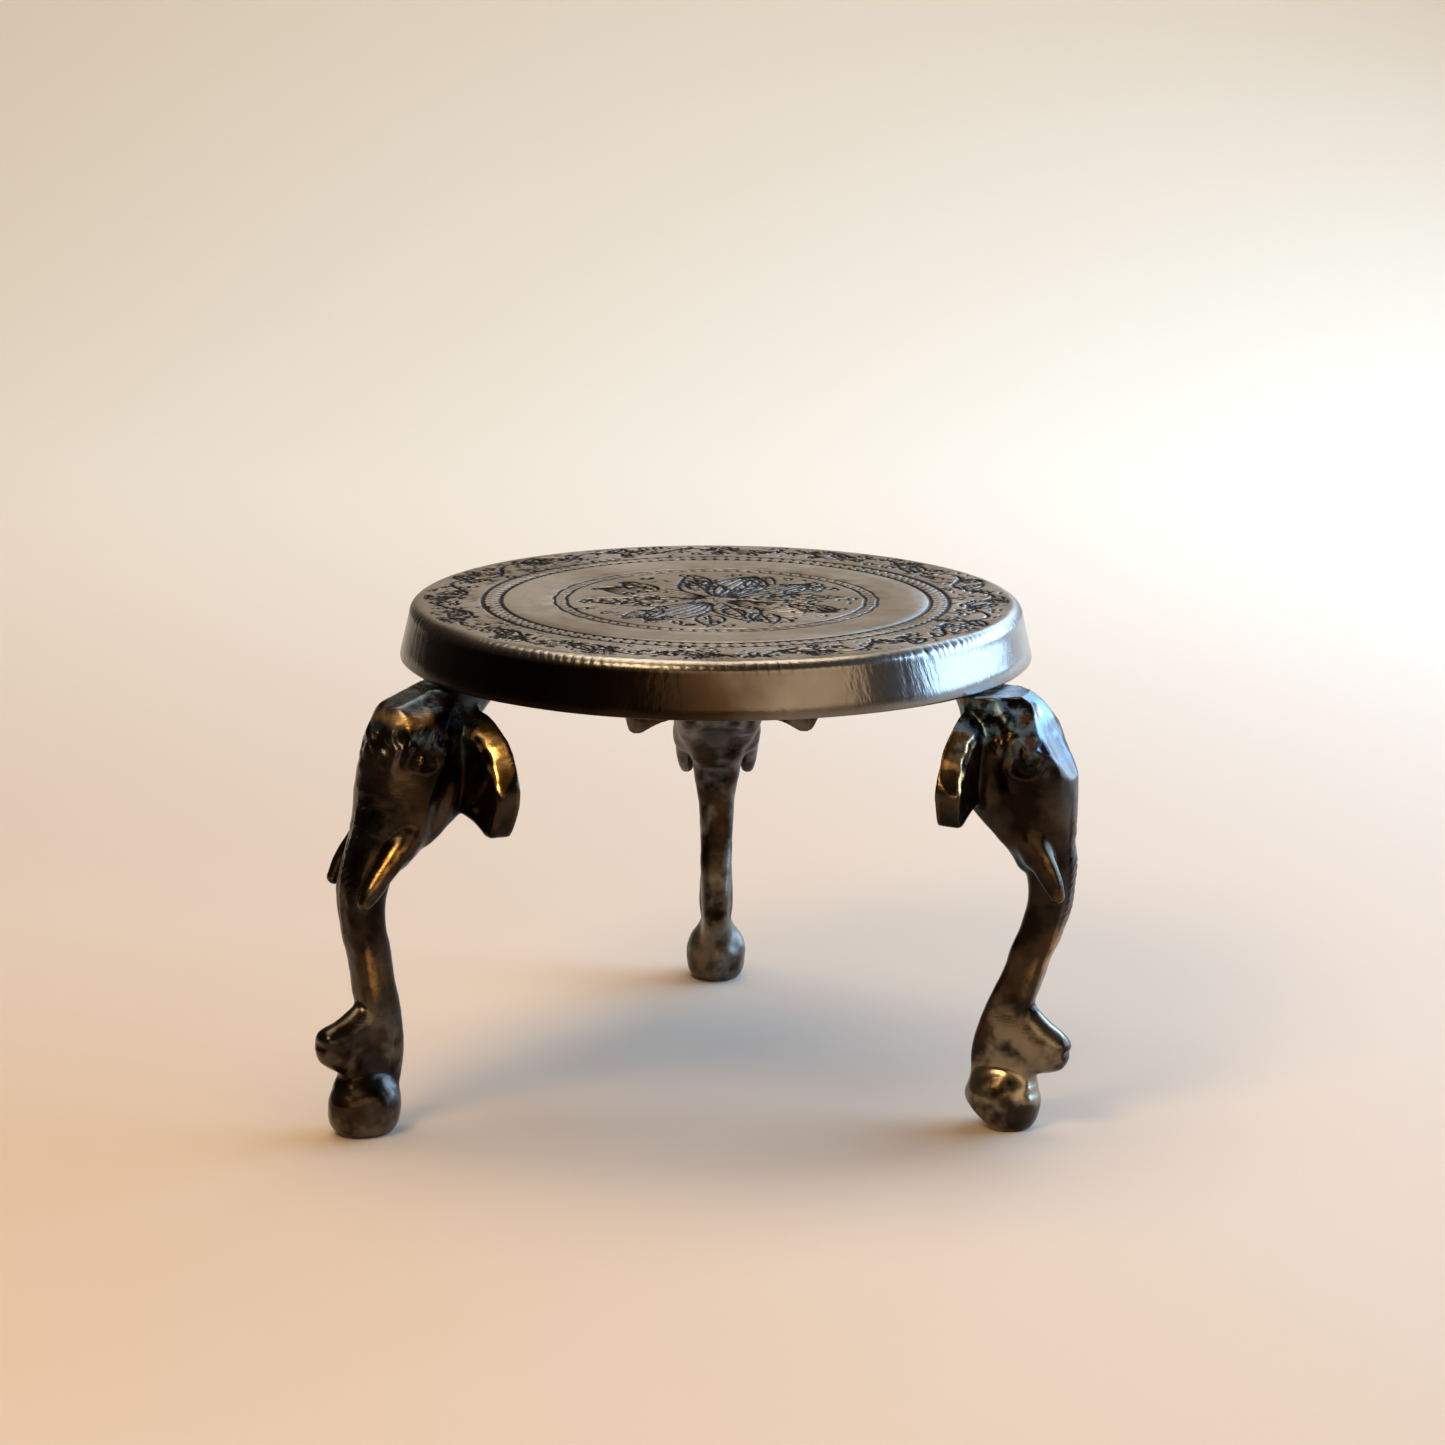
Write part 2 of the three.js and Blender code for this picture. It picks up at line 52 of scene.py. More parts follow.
# ---- sizes read from the frame, in millimetres ----
tray_low, tray_high = (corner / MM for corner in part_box("tray_top"))
AXIS = (tray_low + tray_high) / 2
TRAY_RADIUS = (tray_high.x - tray_low.x) / 2
STAND_HEIGHT = tray_high.z
RIM_BOTTOM = tray_low.z

# ---- sizes of the tray ----
EDGE_GUARD = 0.02  # keeps rounded surfaces just inside the faceted ones
RIM_TAPER = 1.6
BEVEL_DROP = 2.1
BEVEL_RUN = 2.3
PLATE_THICKNESS = 3.2
WALL_THICKNESS = 2.6
BOSS_RADIUS = 4
BOSS_HEIGHT = 2
SCREW_HOLE_RADIUS = 1.75
SCREW_REACH = TRAY_RADIUS - 13
SCREW_SPREAD = 8.6
SCREW_BITE = 3.4
GAP = 0.3
PALM_THICKNESS = 3.4
MEDALLION_RADIUS = 26
RING_INNER, RING_OUTER = 37.4, 40.6  # the milled ring on the top face

PLATE_BOTTOM = STAND_HEIGHT - PLATE_THICKNESS
BOSS_BOTTOM = PLATE_BOTTOM - BOSS_HEIGHT
PALM_TOP = BOSS_BOTTOM - GAP
PALM_BOTTOM = PALM_TOP - PALM_THICKNESS
BEVEL_RADIUS = TRAY_RADIUS - RIM_TAPER
FACE_RADIUS = BEVEL_RADIUS - BEVEL_RUN
INNER_RADIUS = BEVEL_RADIUS - WALL_THICKNESS

# ---- places on a leg, in its own frame: x outwards from the tray's axis, y across, z up ----
SKULL = Vector((TRAY_RADIUS + 3.8, 0, RIM_BOTTOM - 16.4))
CHIN_DROP = 13.6
CROWN_EDGE = Vector((TRAY_RADIUS + 5.2, 2.8, RIM_BOTTOM - 0.9))  # on the flat filed on the crown
CROWN_TILT = 37  # degrees, of the slopes filed to its two sides
EAR_SPAN, EAR_DROP = 19.3, 23.5
EAR_MIDDLE = TRAY_RADIUS - 2.2
JAW_HOLLOW_RADIUS = 15.06
FOOT_X = TRAY_RADIUS + 8.2
FOOT_HEIGHT = 11.6
FOOT_SINK = 1.2
CURL_TIP = Vector((FOOT_X + 11, 0, 15.6))
BEND_Z = SKULL.z - 8
BEND_SPREAD = 9
SCULPT_PITCH = 0.38

# Each leg was set and filed by hand: its place round the tray, the lean of the whole leg, the further
# bend of its trunk, the turn of the leg and the further twist of its head, how low its head hangs, how far
# the trunk bows out under the chin, how far in its neck reaches, the slope of the flat on its crown,
# whether its forehead and heel are filed, how much higher its ears end, and how much shorter the tusks
# are on its two sides. The last entry is how its surface has aged, with painted light mixed in: how bright
# its edges are, how green-blue its neck (verdigris, and a painted reflection of the blue window light), how
# dull it is, how golden (rubbed brass, and a painted highlight on faces turned up and outwards), and how
# much of the patina has gone from its lower end.
LEGS = [
    {
        "name": "rear", "around": 89.75, "lean": 0, "bend": 5, "turn": 0, "twist": 7, "drop": 3.6,
        "bow": 0.4, "neck": 7, "crown": 20, "filed": False, "ears": 2, "tusks": (0.6, 0.6),
        "seed": 11, "wear_and_sheen": (0.3, 0.1, 0.8, 0.1, 0.4),
    },
    {
        "name": "left", "around": 210, "lean": 3, "bend": 4.5, "turn": 9, "twist": 0, "drop": 0,
        "bow": 2, "neck": 7, "crown": 20, "filed": False, "ears": 0, "tusks": (1, -1.4),
        "seed": 23, "wear_and_sheen": (0.45, 0.25, 0.15, 1, 0.35),
    },
    {
        "name": "right", "around": 330, "lean": -3, "bend": -3.7, "turn": 8, "twist": 0, "drop": 0,
        "bow": 0.5, "neck": 3.5, "crown": 29, "filed": True, "ears": 1.9, "tusks": (1.6, 5),
        "seed": 37, "wear_and_sheen": (0.4, 0.8, 0.1, 0.6, 0.8),
    },
]


# ---- camera ----

def set_camera():
    """The photograph's view: low, straight on, with a long lens and a trace of roll."""
    pitch, heading, roll = math.radians(12.51), math.radians(0.08), math.radians(0.31)
    look = Vector((
        math.sin(heading) * math.cos(pitch),
        math.cos(heading) * math.cos(pitch),
        -math.sin(pitch),
    ))
    right = look.cross(Vector((0, 0, 1))).normalized()
    up = right.cross(look)
    side = right * math.cos(roll) + up * math.sin(roll)
    top = up * math.cos(roll) - right * math.sin(roll)
    data = bpy.data.cameras.new("camera")
    data.lens, data.sensor_width = 128.4, 36
    camera = add_object("camera", data)
    distance, height = 16 * TRAY_RADIUS * MM, 4.715 * TRAY_RADIUS * MM
    at = Vector((AXIS.x * MM, AXIS.y * MM - distance, height))
    camera.matrix_world = Matrix.Translation(at) @ Matrix((side, top, -look)).transposed().to_4x4()
    bpy.context.scene.camera = camera


# ---- small numeric tools ----

def smooth_step(value, low, high):
    share = np.clip((value - low) / (high - low), 0, 1)
    return share * share * (3 - 2 * share)


def bump(value, centre, half):
    """1 at the centre, falling smoothly to 0 at half away from it."""
    return 1 - smooth_step(np.abs(value - centre), 0, half)


def blend_min(a, b, soft):
    share = np.clip(0.5 + 0.5 * (b - a) / soft, 0, 1)
    return b * (1 - share) + a * share - soft * share * (1 - share)


def blend_cut(a, cutter, soft):
    return -blend_min(-a, cutter, soft)


def rounded_meet(a, b, radius):
    """The part that two shapes share, with the edge where they meet rounded."""
    a, b = a + radius, b + radius
    return np.minimum(np.maximum(a, b), 0) + np.hypot(np.maximum(a, 0), np.maximum(b, 0)) - radius


def ripple(points, wavelength, seed, waves=9):
    """A smooth seeded unevenness of about -1 to 1."""
    rng = np.random.default_rng(seed)
    total = np.zeros(len(points))
    for _ in range(waves):
        heading = rng.normal(size=3)
        heading /= np.linalg.norm(heading)
        rate = TURN / wavelength * rng.uniform(0.6, 1.5)
        total += np.sin(points @ heading * rate + rng.uniform(0, TURN))
    return total / math.sqrt(waves * 2)


def curve_through(stations, steps):
    """Smooth curve through rows of numbers, with `steps` points to each span."""
    rows = np.asarray(stations, float)
    rows = np.vstack([2 * rows[0] - rows[1], rows, 2 * rows[-1] - rows[-2]])
    out = []
    for p0, p1, p2, p3 in zip(rows, rows[1:], rows[2:], rows[3:]):
        t = np.linspace(0, 1, steps, endpoint=False)[:, None]
        tangent1, tangent2 = (p2 - p0) / 2, (p3 - p1) / 2
        out.append(
            (2 * t**3 - 3 * t**2 + 1) * p1 + (t**3 - 2 * t**2 + t) * tangent1
            + (3 * t**2 - 2 * t**3) * p2 + (t**3 - t**2) * tangent2
        )
    return np.vstack([*out, rows[-2][None]])


def sampled(field, place):
    """A gridded field at places counted in cells, by straight-line interpolation."""
    place = np.clip(place, 0, np.array(field.shape) - 1.001)
    cell = place.astype(int)
    rest = place - cell
    total = np.zeros(len(place))
    for corner in np.ndindex(*[2] * field.ndim):
        share = np.prod(np.where(np.array(corner) == 1, rest, 1 - rest), axis=1)
        total += share * field[tuple((cell + corner).T)]
    return total


def swept_distance(section, reach, deep, over):
    """Distance to a rod from its section's measure, rounded off where it is over the rod's end."""
    distance = np.where(section > 0.05, reach * (1 - 1 / np.maximum(section, 0.05)), -deep)
    return np.where(over > 0, np.hypot(np.maximum(distance, 0), over), distance)


def add_object(name, data):
    thing = bpy.data.objects.new(name, data)
    bpy.context.scene.collection.objects.link(thing)
    return thing


def add_mesh(name, points, faces, material):
    mesh = bpy.data.meshes.new(name)
    mesh.from_pydata(points, [], faces)
    mesh.update()
    mesh.shade_smooth()
    mesh.materials.append(material)
    return add_object(name, mesh)


# ---- a block of space that a shape is sculpted in ----

class Clay:
    """Signed distances to a shape, in millimetres, on a regular grid."""

    def __init__(self, low, high, pitch):
        self.low, self.pitch = np.array(low, float), pitch
        counts = [int((b - a) / pitch) + 2 for a, b in zip(low, high)]
        self.axes = [a + pitch * np.arange(n) for a, n in zip(low, counts)]
        self.x = self.axes[0][:, None, None].astype(np.float32)
        self.y = self.axes[1][None, :, None].astype(np.float32)
        self.z = self.axes[2][None, None, :].astype(np.float32)
        self.shape = tuple(counts)
        self.far = np.full(self.shape, 50, np.float32)

    def ball(self, centre, semi_axes):
        x, y, z = ((g - c) / s for g, c, s in zip((self.x, self.y, self.z), centre, semi_axes))
        reach = np.sqrt(x * x + y * y + z * z)
        return (reach - 1) * min(semi_axes)

    def cord(self, points, radii):
        """Round rod along points, with a radius at each."""
        distance = self.far
        for a, b, ra, rb in zip(points, points[1:], radii, radii[1:]):
            a, b = Vector(a), Vector(b)
            run = b - a
            share = ((self.x - a.x) * run.x + (self.y - a.y) * run.y + (self.z - a.z) * run.z)
            share = np.clip(share / run.length_squared, 0, 1)
            dx = self.x - a.x - run.x * share
            dy = self.y - a.y - run.y * share
            dz = self.z - a.z - run.z * share
            reach = np.sqrt(dx * dx + dy * dy + dz * dz) - (ra + (rb - ra) * share)
            distance = np.minimum(distance, reach)
        return distance

    def swept(self, stations, squareness=2.0, relief=None):
        """Body along stations (x, z, depth, width) in the plane y = 0; sections lie across its path."""
        path = curve_through(stations, 60)
        spine, depth, width = path[:, :2], path[:, 2], path[:, 3]
        tangent = np.gradient(spine, axis=0)
        tangent /= np.linalg.norm(tangent, axis=1)[:, None]
        along = np.concatenate([[0], np.cumsum(np.linalg.norm(np.diff(spine, axis=0), axis=1))])
        cells = np.stack(np.meshgrid(self.axes[0], self.axes[2], indexing="ij"), -1).reshape(-1, 2)
        near = np.empty(len(cells), int)
        for start in range(0, len(cells), 4096):
            block = cells[start:start + 4096]
            gaps = ((block[:, None, :] - spine[None]) ** 2).sum(-1)
            near[start:start + 4096] = gaps.argmin(1)
        offset = cells - spine[near]
        over = np.abs((offset * tangent[near]).sum(1))
        across = offset[:, 1] * tangent[near][:, 0] - offset[:, 0] * tangent[near][:, 1]
        inner = (near > 0) & (near < len(spine) - 1)
        over = np.where(inner, 0, over)
        size = (self.shape[0], 1, self.shape[2])
        plane = [v.reshape(size).astype(np.float32) for v in (across, over, depth[near], width[near])]
        across, over, deep, wide = plane
        power = np.asarray(squareness(along[near]) if callable(squareness) else squareness)
        power = (power.reshape(size) if power.ndim else power).astype(np.float32)
        section = (np.abs(across / deep) ** power + np.abs(self.y / wide) ** power) ** (1 / power)
        reach = np.sqrt(across**2 + self.y**2)
        distance = swept_distance(section, reach, deep, over)
        if relief is not None:
            distance = distance - relief(along[near].reshape(size), across, self.y)
        return distance.astype(np.float32)

    def at(self, field, points):
        return sampled(field, (points - self.low) / self.pitch)

    def slope(self, field, points):
        step = self.pitch
        ahead = [self.at(field, points + step * axis) for axis in np.eye(3)]
        behind = [self.at(field, points - step * axis) for axis in np.eye(3)]
        return (np.stack(ahead, 1) - np.stack(behind, 1)) / (2 * step)

    def normal(self, field, points):
        slope = self.slope(field, points)
        return slope / np.maximum(np.linalg.norm(slope, axis=1), 1e-6)[:, None]

    def skin(self, field):
        """The surface where the field is zero: one vertex to a crossed cell, and four-sided faces."""
        inside = field < 0
        cells = tuple(n - 1 for n in self.shape)
        total = np.zeros((cells[0] * cells[1] * cells[2], 3))
        hits = np.zeros(len(total))
        faces = []
        for axis in range(3):
            one, two = [slice(None)] * 3, [slice(None)] * 3
            one[axis], two[axis] = slice(None, -1), slice(1, None)
            start_in = inside[tuple(one)]
            crossed = np.argwhere(start_in != inside[tuple(two)])
            side1, side2 = [a for a in range(3) if a != axis]
            keep = np.ones(len(crossed), bool)
            for side in (side1, side2):
                keep &= (crossed[:, side] > 0) & (crossed[:, side] < self.shape[side] - 1)
            crossed = crossed[keep]
            near = field[tuple(crossed.T)]
            step = np.zeros(3, int)
            step[axis] = 1
            beyond = field[tuple((crossed + step).T)]
            point = crossed.astype(float)
            point[:, axis] += near / (near - beyond)
            quad = []
            for d1, d2 in ((-1, -1), (0, -1), (0, 0), (-1, 0)):
                cell = crossed.copy()
                cell[:, side1] += d1
                cell[:, side2] += d2
                flat = (cell[:, 0] * cells[1] + cell[:, 1]) * cells[2] + cell[:, 2]
                for c in range(3):
                    total[:, c] += np.bincount(flat, point[:, c], len(total))
                hits += np.bincount(flat, minlength=len(total))
                quad.append(flat)
            quad = np.stack(quad, 1)
            outwards = start_in[tuple(crossed.T)] if axis != 1 else ~start_in[tuple(crossed.T)]
            quad[~outwards] = quad[~outwards][:, ::-1]
            faces.append(quad)
        used = np.flatnonzero(hits)
        number = np.full(len(hits), -1)
        number[used] = np.arange(len(used))
        points = total[used] / hits[used][:, None] * self.pitch + self.low
        return points, number[np.vstack(faces)]

    def settle(self, field, points, rounds=3):
        """Slides points onto the zero surface."""
        for _ in range(rounds):
            grad = self.slope(field, points)
            size = np.maximum((grad**2).sum(1), 0.05)
            move = -self.at(field, points)[:, None] * grad / size[:, None]
            points = points + np.clip(move, -self.pitch / 2, self.pitch / 2)
        return points


def make_piece(name, points, faces, material, attributes=None):
    """A mesh piece from millimetre points, riding on the part's one body."""
    piece = add_mesh(name, (points * MM).tolist(), [list(face) for face in faces], material)
    for label, values in (attributes or {}).items():
        layer = piece.data.attributes.new(label, "FLOAT", "POINT")
        layer.data.foreach_set("value", np.asarray(values, np.float32))
    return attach(piece, BODY)


# ---- the leg's shape ----

def head_heights(leg):
    """Heights of the middle of the skull, under the crown, and of the chin."""
    crown = SKULL.z - leg["drop"]
    return crown, crown - CHIN_DROP


def bowed(z, leg):
    """How far the trunk stands out at a height, over the plain figure."""
    return leg["bow"] * bump(z, head_heights(leg)[1] - 5, 20)


def head_stations(leg):
    crown, chin = head_heights(leg)

    def down(share):
        return chin + (CURL_TIP.z - chin) * share

    x = SKULL.x
    stations = [
        (x - 2.2, crown + 16, 5.6, 5.4),
        (x - 1.2, crown + 11.5, 8.4, 7.4),
        (x - 0.6, crown + 6, 9.6, 8.8),
        (x + 0.6, crown, 10.1, 9),
        (x + 2.6, crown - 5, 8.9, 8.1),
        (x + 5.2, crown - 10, 6.2, 6.1),
        (x + 7, chin, 4.2, 4.8),
        (x + 7.5, down(0.16), 3.5, 4.1),
        (x + 6.9, down(0.34), 3.35, 3.45),
        (x + 5.8, down(0.5), 3.35, 3.15),
        (x + 4.8, down(0.68), 3.4, 3),
        (FOOT_X - 0.8, down(0.82), 3.7, 2.85),
        (FOOT_X - 1.4, CURL_TIP.z, 4.6, 2.75),
        (FOOT_X - 0.8, FOOT_HEIGHT, 5.6, 2.6),
        (FOOT_X, FOOT_HEIGHT * 0.6, 5.4, 3.4),
    ]
    return [(x + bowed(z, leg), z, depth, width) for x, z, depth, width in stations]


# The trunk's tip, from its point back towards the leg: how far back, and how far it reaches up, down and
# to each side there.
CURL_STATIONS = [
    (0, 1.1, 1.9, 1.4),
    (0.7, 1.8, 3.1, 2.1),
    (2, 2.7, 4.1, 2.6),
    (4.4, 4, 5.1, 2.9),
    (7, 5.9, 6.1, 3),
    (9.5, 7.5, 6.8, 3),
    (13, 7.8, 7.2, 2.9),
]


def curl_field(clay):
    """The tip of the trunk, which turns outwards over the foot like a small beak."""
    back, top, under, wide = curve_through(CURL_STATIONS, 12).T
    behind = CURL_TIP.x - clay.x
    up, low, side = (np.interp(behind, back, size).astype(np.float32) for size in (top, under, wide))
    nose = np.sqrt(np.clip(behind / 1.2, 0.02, 1) * (2 - np.clip(behind / 1.2, 0.02, 1)))
    rise = clay.z - CURL_TIP.z
    deep = np.where(rise > 0, up, low) * nose
    section = (np.abs(rise / deep) ** 2.2 + np.abs(clay.y / (side * nose)) ** 2.2) ** (1 / 2.2)
    reach = np.hypot(rise, clay.y)
    beyond = np.maximum(-behind, behind - CURL_STATIONS[-1][0])
    return swept_distance(section, reach, deep, beyond).astype(np.float32)


def trunk_relief(along, across, y):
    """Rope-like wrinkles up the front of the trunk, and flutes under the jaw."""
    front = smooth_step(across, 1.5, 3.5)
    strip = smooth_step(1.9 - np.abs(y), 0, 0.6) * bump(along, 33, 15) ** 0.5 * front
    rope = 0.5 + 0.5 * np.cos(TURN * (along / 1.15 + y * 0.5))
    back = smooth_step(-across, 1.5, 3.5)
    flutes = 0.5 - 0.5 * np.cos(TURN * y / 3.4)
    jaw = bump(along, 21, 11) * back * smooth_step(7 - np.abs(y), 0, 2)
    return strip * (0.1 + 0.26 * rope) - jaw * flutes * 0.6


def outline_distance(outline, u, v):
    """Signed distance in a plane to a closed outline, with u and v as 1-D axes."""
    points = np.stack(np.meshgrid(u, v, indexing="ij"), -1)
    best = np.full(points.shape[:2], 1e9)
    inside = np.zeros(points.shape[:2], bool)
    for a, b in zip(outline, np.roll(outline, -1, axis=0)):
        run, offset = b - a, points - a
        share = np.clip((offset @ run) / max(run @ run, 1e-9), 0, 1)
        best = np.minimum(best, ((offset - share[..., None] * run) ** 2).sum(-1))
        straddles = (a[1] <= points[..., 1]) != (b[1] <= points[..., 1])
        rise = b[1] - a[1] if abs(b[1] - a[1]) > 1e-9 else 1e-9
        crossing = a[0] + (points[..., 1] - a[1]) * run[0] / rise
        inside ^= straddles & (points[..., 0] < crossing)
    return np.where(inside, -1, 1) * np.sqrt(best)


def bezier(a, b, c, d, steps=10):
    t = np.linspace(0, 1, steps)[:, None]
    a, b, c, d = (np.array(p, float) for p in (a, b, c, d))
    return (1 - t)**3 * a + 3 * (1 - t)**2 * t * b + 3 * (1 - t) * t**2 * c + t**3 * d


def ear_outline(leg):
    """One ear in the plane across the leg: aside from the middle line, and height."""
    top = RIM_BOTTOM - 2.6 - leg["drop"]
    tip = RIM_BOTTOM - EAR_DROP - leg["drop"] + leg["ears"]
    upper = [(0, top - 1), (0.35, top + 0.6), (0.78, top - 1.5), (0.94, top - 9)]
    outer = [(0.94, top - 9), (1.03, top - 13), (1.02, tip + 7), (0.9, tip + 1.2)]
    point = [(0.9, tip + 1.2), (0.88, tip), (0.8, tip), (0.75, tip + 0.3)]
    lower = [(0.75, tip + 0.3), (0.66, tip + 1.4), (0.55, tip + 2.3), (0.36, tip + 2.9)]
    root = [(0, tip + 3.6)]
    outline = np.vstack([bezier(*upper), bezier(*outer), bezier(*point, 5), bezier(*lower), root])
    return outline * (EAR_SPAN, 1)


def ear_field(clay, leg):
    """Both ears: thick flat plates, bevelled along the upper front edge, with shallow folds."""
    half, rounding = 2.1, 0.3
    plane = outline_distance(ear_outline(leg), np.abs(clay.axes[1]), clay.axes[2])[None]
    plane = plane.astype(np.float32)
    y = np.abs(clay.y)
    spread = smooth_step(y, 8, 12)
    fold = 0.22 * (0.5 + 0.5 * np.cos(TURN * (clay.z - 1.1 * y) / 5.6)) * smooth_step(-plane, 1, 3)
    front = clay.x - (EAR_MIDDLE + half - (0.35 * smooth_step(-plane, 1.5, 3.5) + fold) * spread)
    back = (EAR_MIDDLE - half) - clay.x
    plate = rounded_meet(np.maximum(front, back), plane, rounding)
    upper = smooth_step(clay.z, RIM_BOTTOM - 17 - leg["drop"], RIM_BOTTOM - 11 - leg["drop"])
    bevel = front * 0.87 + plane * 0.5 + 0.3 + 1.5 * upper
    slope = front * 0.55 + plane * 0.84 + 0.35 + 1.9 * upper
    return np.maximum(plate, np.maximum(bevel, slope))


def neck_field(clay, leg):
    lower = np.array([TRAY_RADIUS - 0.6, RIM_BOTTOM - 9 - leg["drop"], 6.2, 6])
    upper = np.array([TRAY_RADIUS - leg["neck"], PALM_BOTTOM + 1, 5.6, 6.2])
    middle = (lower + upper) / 2
    middle[0] += 0.8 if leg["neck"] < 5 else 1.6
    middle[2:] = (5.7, 6)
    return clay.swept([lower, middle, upper])


def carve_face(clay, body, leg, side):
    """Eye in its socket, temple, lip and tusk on one side of the head."""
    crown, chin = head_heights(leg)
    x = SKULL.x
    socket = clay.ball((x + 4.2, side * 8.2, crown + 5.2), (2.2, 0.9, 1))
    body = blend_cut(body, socket, 1.2)
    eye = clay.ball((x + 4.3, side * 7.1, crown + 5.2), (1.2, 0.9, 0.6))
    body = blend_min(body, eye, 0.7)
    temple = clay.cord([
        (x - 1.6, side * 10.2, crown + 6),
        (x - 0.2, side * 10.4, crown - 0.5),
        (x + 1.6, side * 9, crown - 6),
    ], [0.9, 2, 1.3])
    body = blend_cut(body, temple, 1.8)
    lip = clay.cord([
        (x + 2.8, side * 5.1, chin + 9.4),
        (x + 5, side * 5.5, chin + 5.6),
        (x + 6.2, side * 5.6, chin + 3.6),
    ], [2.2, 2.8, 2.5])
    body = blend_min(body, lip, 1.2)
    short = leg["tusks"][side > 0]
    reach = curve_through([
        (x + 4.4, side * 5.4, chin + 8, 2.1),
        (x + 5.8, side * 5.6, chin + 5, 2.4),
        (x + 8.4 - short * 0.3, side * 5.8, chin + 1.4 + short * 0.4, 2.1),
        (x + 10.6 - short * 0.6, side * 5.8, chin - 2 + short, 1.8),
        (x + 11.9 - short * 0.6, side * 5.7, chin - 4.2 + short, 1.25),
    ], 4)
    tusk = clay.cord([tuple(p[:3]) for p in reach], list(reach[:, 3]))
    return blend_min(body, tusk, 0.5)


def brow_level(x, y, z, leg):
    """Height over the middle of the skull, with level lines that droop outwards and to the sides."""
    return z + 0.3 * (x - SKULL.x) + 0.25 * np.abs(y) - head_heights(leg)[0]


def carved_brow(clay, leg):
    """How far the chisel went in under the crown: a band of rough lumps and cuts."""
    rng = np.random.default_rng(leg["seed"] + 5)
    x, y, z = clay.x, clay.y, clay.z
    rough = 0
    for _ in range(7):
        wave = rng.normal(size=3)
        wave *= TURN / (rng.uniform(2, 4.2) * np.linalg.norm(wave))
        rough = rough + np.sin(wave[0] * x + wave[1] * y + wave[2] * z + rng.uniform(0, TURN))
    band = bump(brow_level(x, y, z, leg), 10.8, 4.4) * smooth_step(x, SKULL.x - 4, SKULL.x)
    return (0.3 * np.tanh(rough) * band).astype(np.float32)


def filed(clay, body, through, facing, tilt=0):
    """A flat filed on the body: `facing` is its direction above outwards, and `tilt` turns it aside."""
    angle, roll = math.radians(facing), math.radians(tilt)
    flat = (clay.x - through[0]) * math.cos(angle) + (clay.z - through[2]) * math.sin(angle)
    flat = flat * math.cos(roll) + (clay.y - through[1]) * math.sin(roll)
    return blend_cut(body, -flat, 0.3)


def foot_field(clay):
    """A pad foot: round above, squarer towards the sole."""
    length, width, height = 6.7, 5.6, 5.8
    rise = (clay.z - FOOT_HEIGHT / 2 + FOOT_SINK) / height
    plan = np.hypot((clay.x - FOOT_X) / length, clay.y / width)
    power = 2 + 0.8 * smooth_step(-rise, 0, 0.6)
    section = (plan**power + np.abs(rise) ** power) ** (1 / power)
    return ((section - 1) * width).astype(np.float32)


def figure_field(clay, leg):
    """The cast figure before it is bent and turned: head, ears, tusks, trunk, curl and foot."""
    crown, chin = head_heights(leg)
    start = crown + 16

    def squareness(along):
        return 2 + 1.5 * smooth_step(along, start - 46, start - 38)

    body = clay.swept(head_stations(leg), squareness, trunk_relief)
    body = blend_min(body, curl_field(clay), 1.2)
    notch = np.hypot(clay.x - CURL_TIP.x - 0.1, clay.z - CURL_TIP.z + 0.6) - 0.8 + 0 * clay.y
    body = blend_cut(body, notch, 0.4)
    under_jaw = np.hypot(clay.x - SKULL.x + 11.75, clay.z - chin + 5.2) - JAW_HOLLOW_RADIUS + 0 * clay.y
    body = blend_cut(body, np.maximum(under_jaw, chin - 3 - clay.z), 1.2)
    body = blend_min(body, foot_field(clay), 1.3)
    for side in (-1, 1):
        body = carve_face(clay, body, leg, side)
    body = body + carved_brow(clay, leg)
    if leg["filed"]:
        body = filed(clay, body, (FOOT_X - 6.3, 0, 4.2), 239)
        body = filed(clay, body, (SKULL.x + 8.2, 0, crown + 5.9), 32)
    for side in (0, 1, -1):
        through = (CROWN_EDGE.x, side * CROWN_EDGE.y, CROWN_EDGE.z - leg["drop"])
        body = filed(clay, body, through, 90 - leg["crown"], side * CROWN_TILT)
    body = blend_min(body, ear_field(clay, leg), 1)
    return blend_min(body, neck_field(clay, leg), 1.4)


def turned(points, first, second, angle):
    """Points turned from one axis towards another."""
    c, s = np.cos(angle), np.sin(angle)
    out = points.copy()
    out[..., first] = points[..., first] * c - points[..., second] * s
    out[..., second] = points[..., first] * s + points[..., second] * c
    return out


def rubbed_and_highlit(points, normal, leg):
    """Where hands and cloths keep a casting golden, and where a golden highlight is painted on faces turned
    up and outwards: crown's edge, ears' bevels, tusks and trunk.
    """
    x, y, z = points.T
    outwards, upwards = normal[:, 0], normal[:, 2]
    chin = head_heights(leg)[1]
    aside = np.abs(y)
    ears = smooth_step(aside, 9, 10.5) * smooth_step(outwards, 0.35, 0.6) * smooth_step(upwards, 0.2, 0.4)
    brow = bump(brow_level(x, y, z, leg), 14.6, 1.9) * smooth_step(x, SKULL.x, SKULL.x + 2)
    brow *= smooth_step(outwards, 0.1, 0.4)
    tusks = smooth_step(aside, 5.6, 7.2) * smooth_step(chin + 6.5 - z, 0, 3)
    tusks *= smooth_step(z, chin - 8, chin - 5) * smooth_step(upwards, -0.2, 0.4)
    middle = (chin + CURL_TIP.z) / 2
    trunk = bump(z, middle - 3, 10) * bump(outwards - 0.25, 0, 0.5)
    trunk *= smooth_step(np.abs(normal[:, 1]), 0.5, 0.8)
    if leg["filed"]:
        trunk += 1.4 * bump(z, middle, 14) * smooth_step(outwards, 0.7, 0.92)
    return np.clip(ears + 0.8 * brow + 0.5 * tusks + 0.6 * trunk, 0, 1)


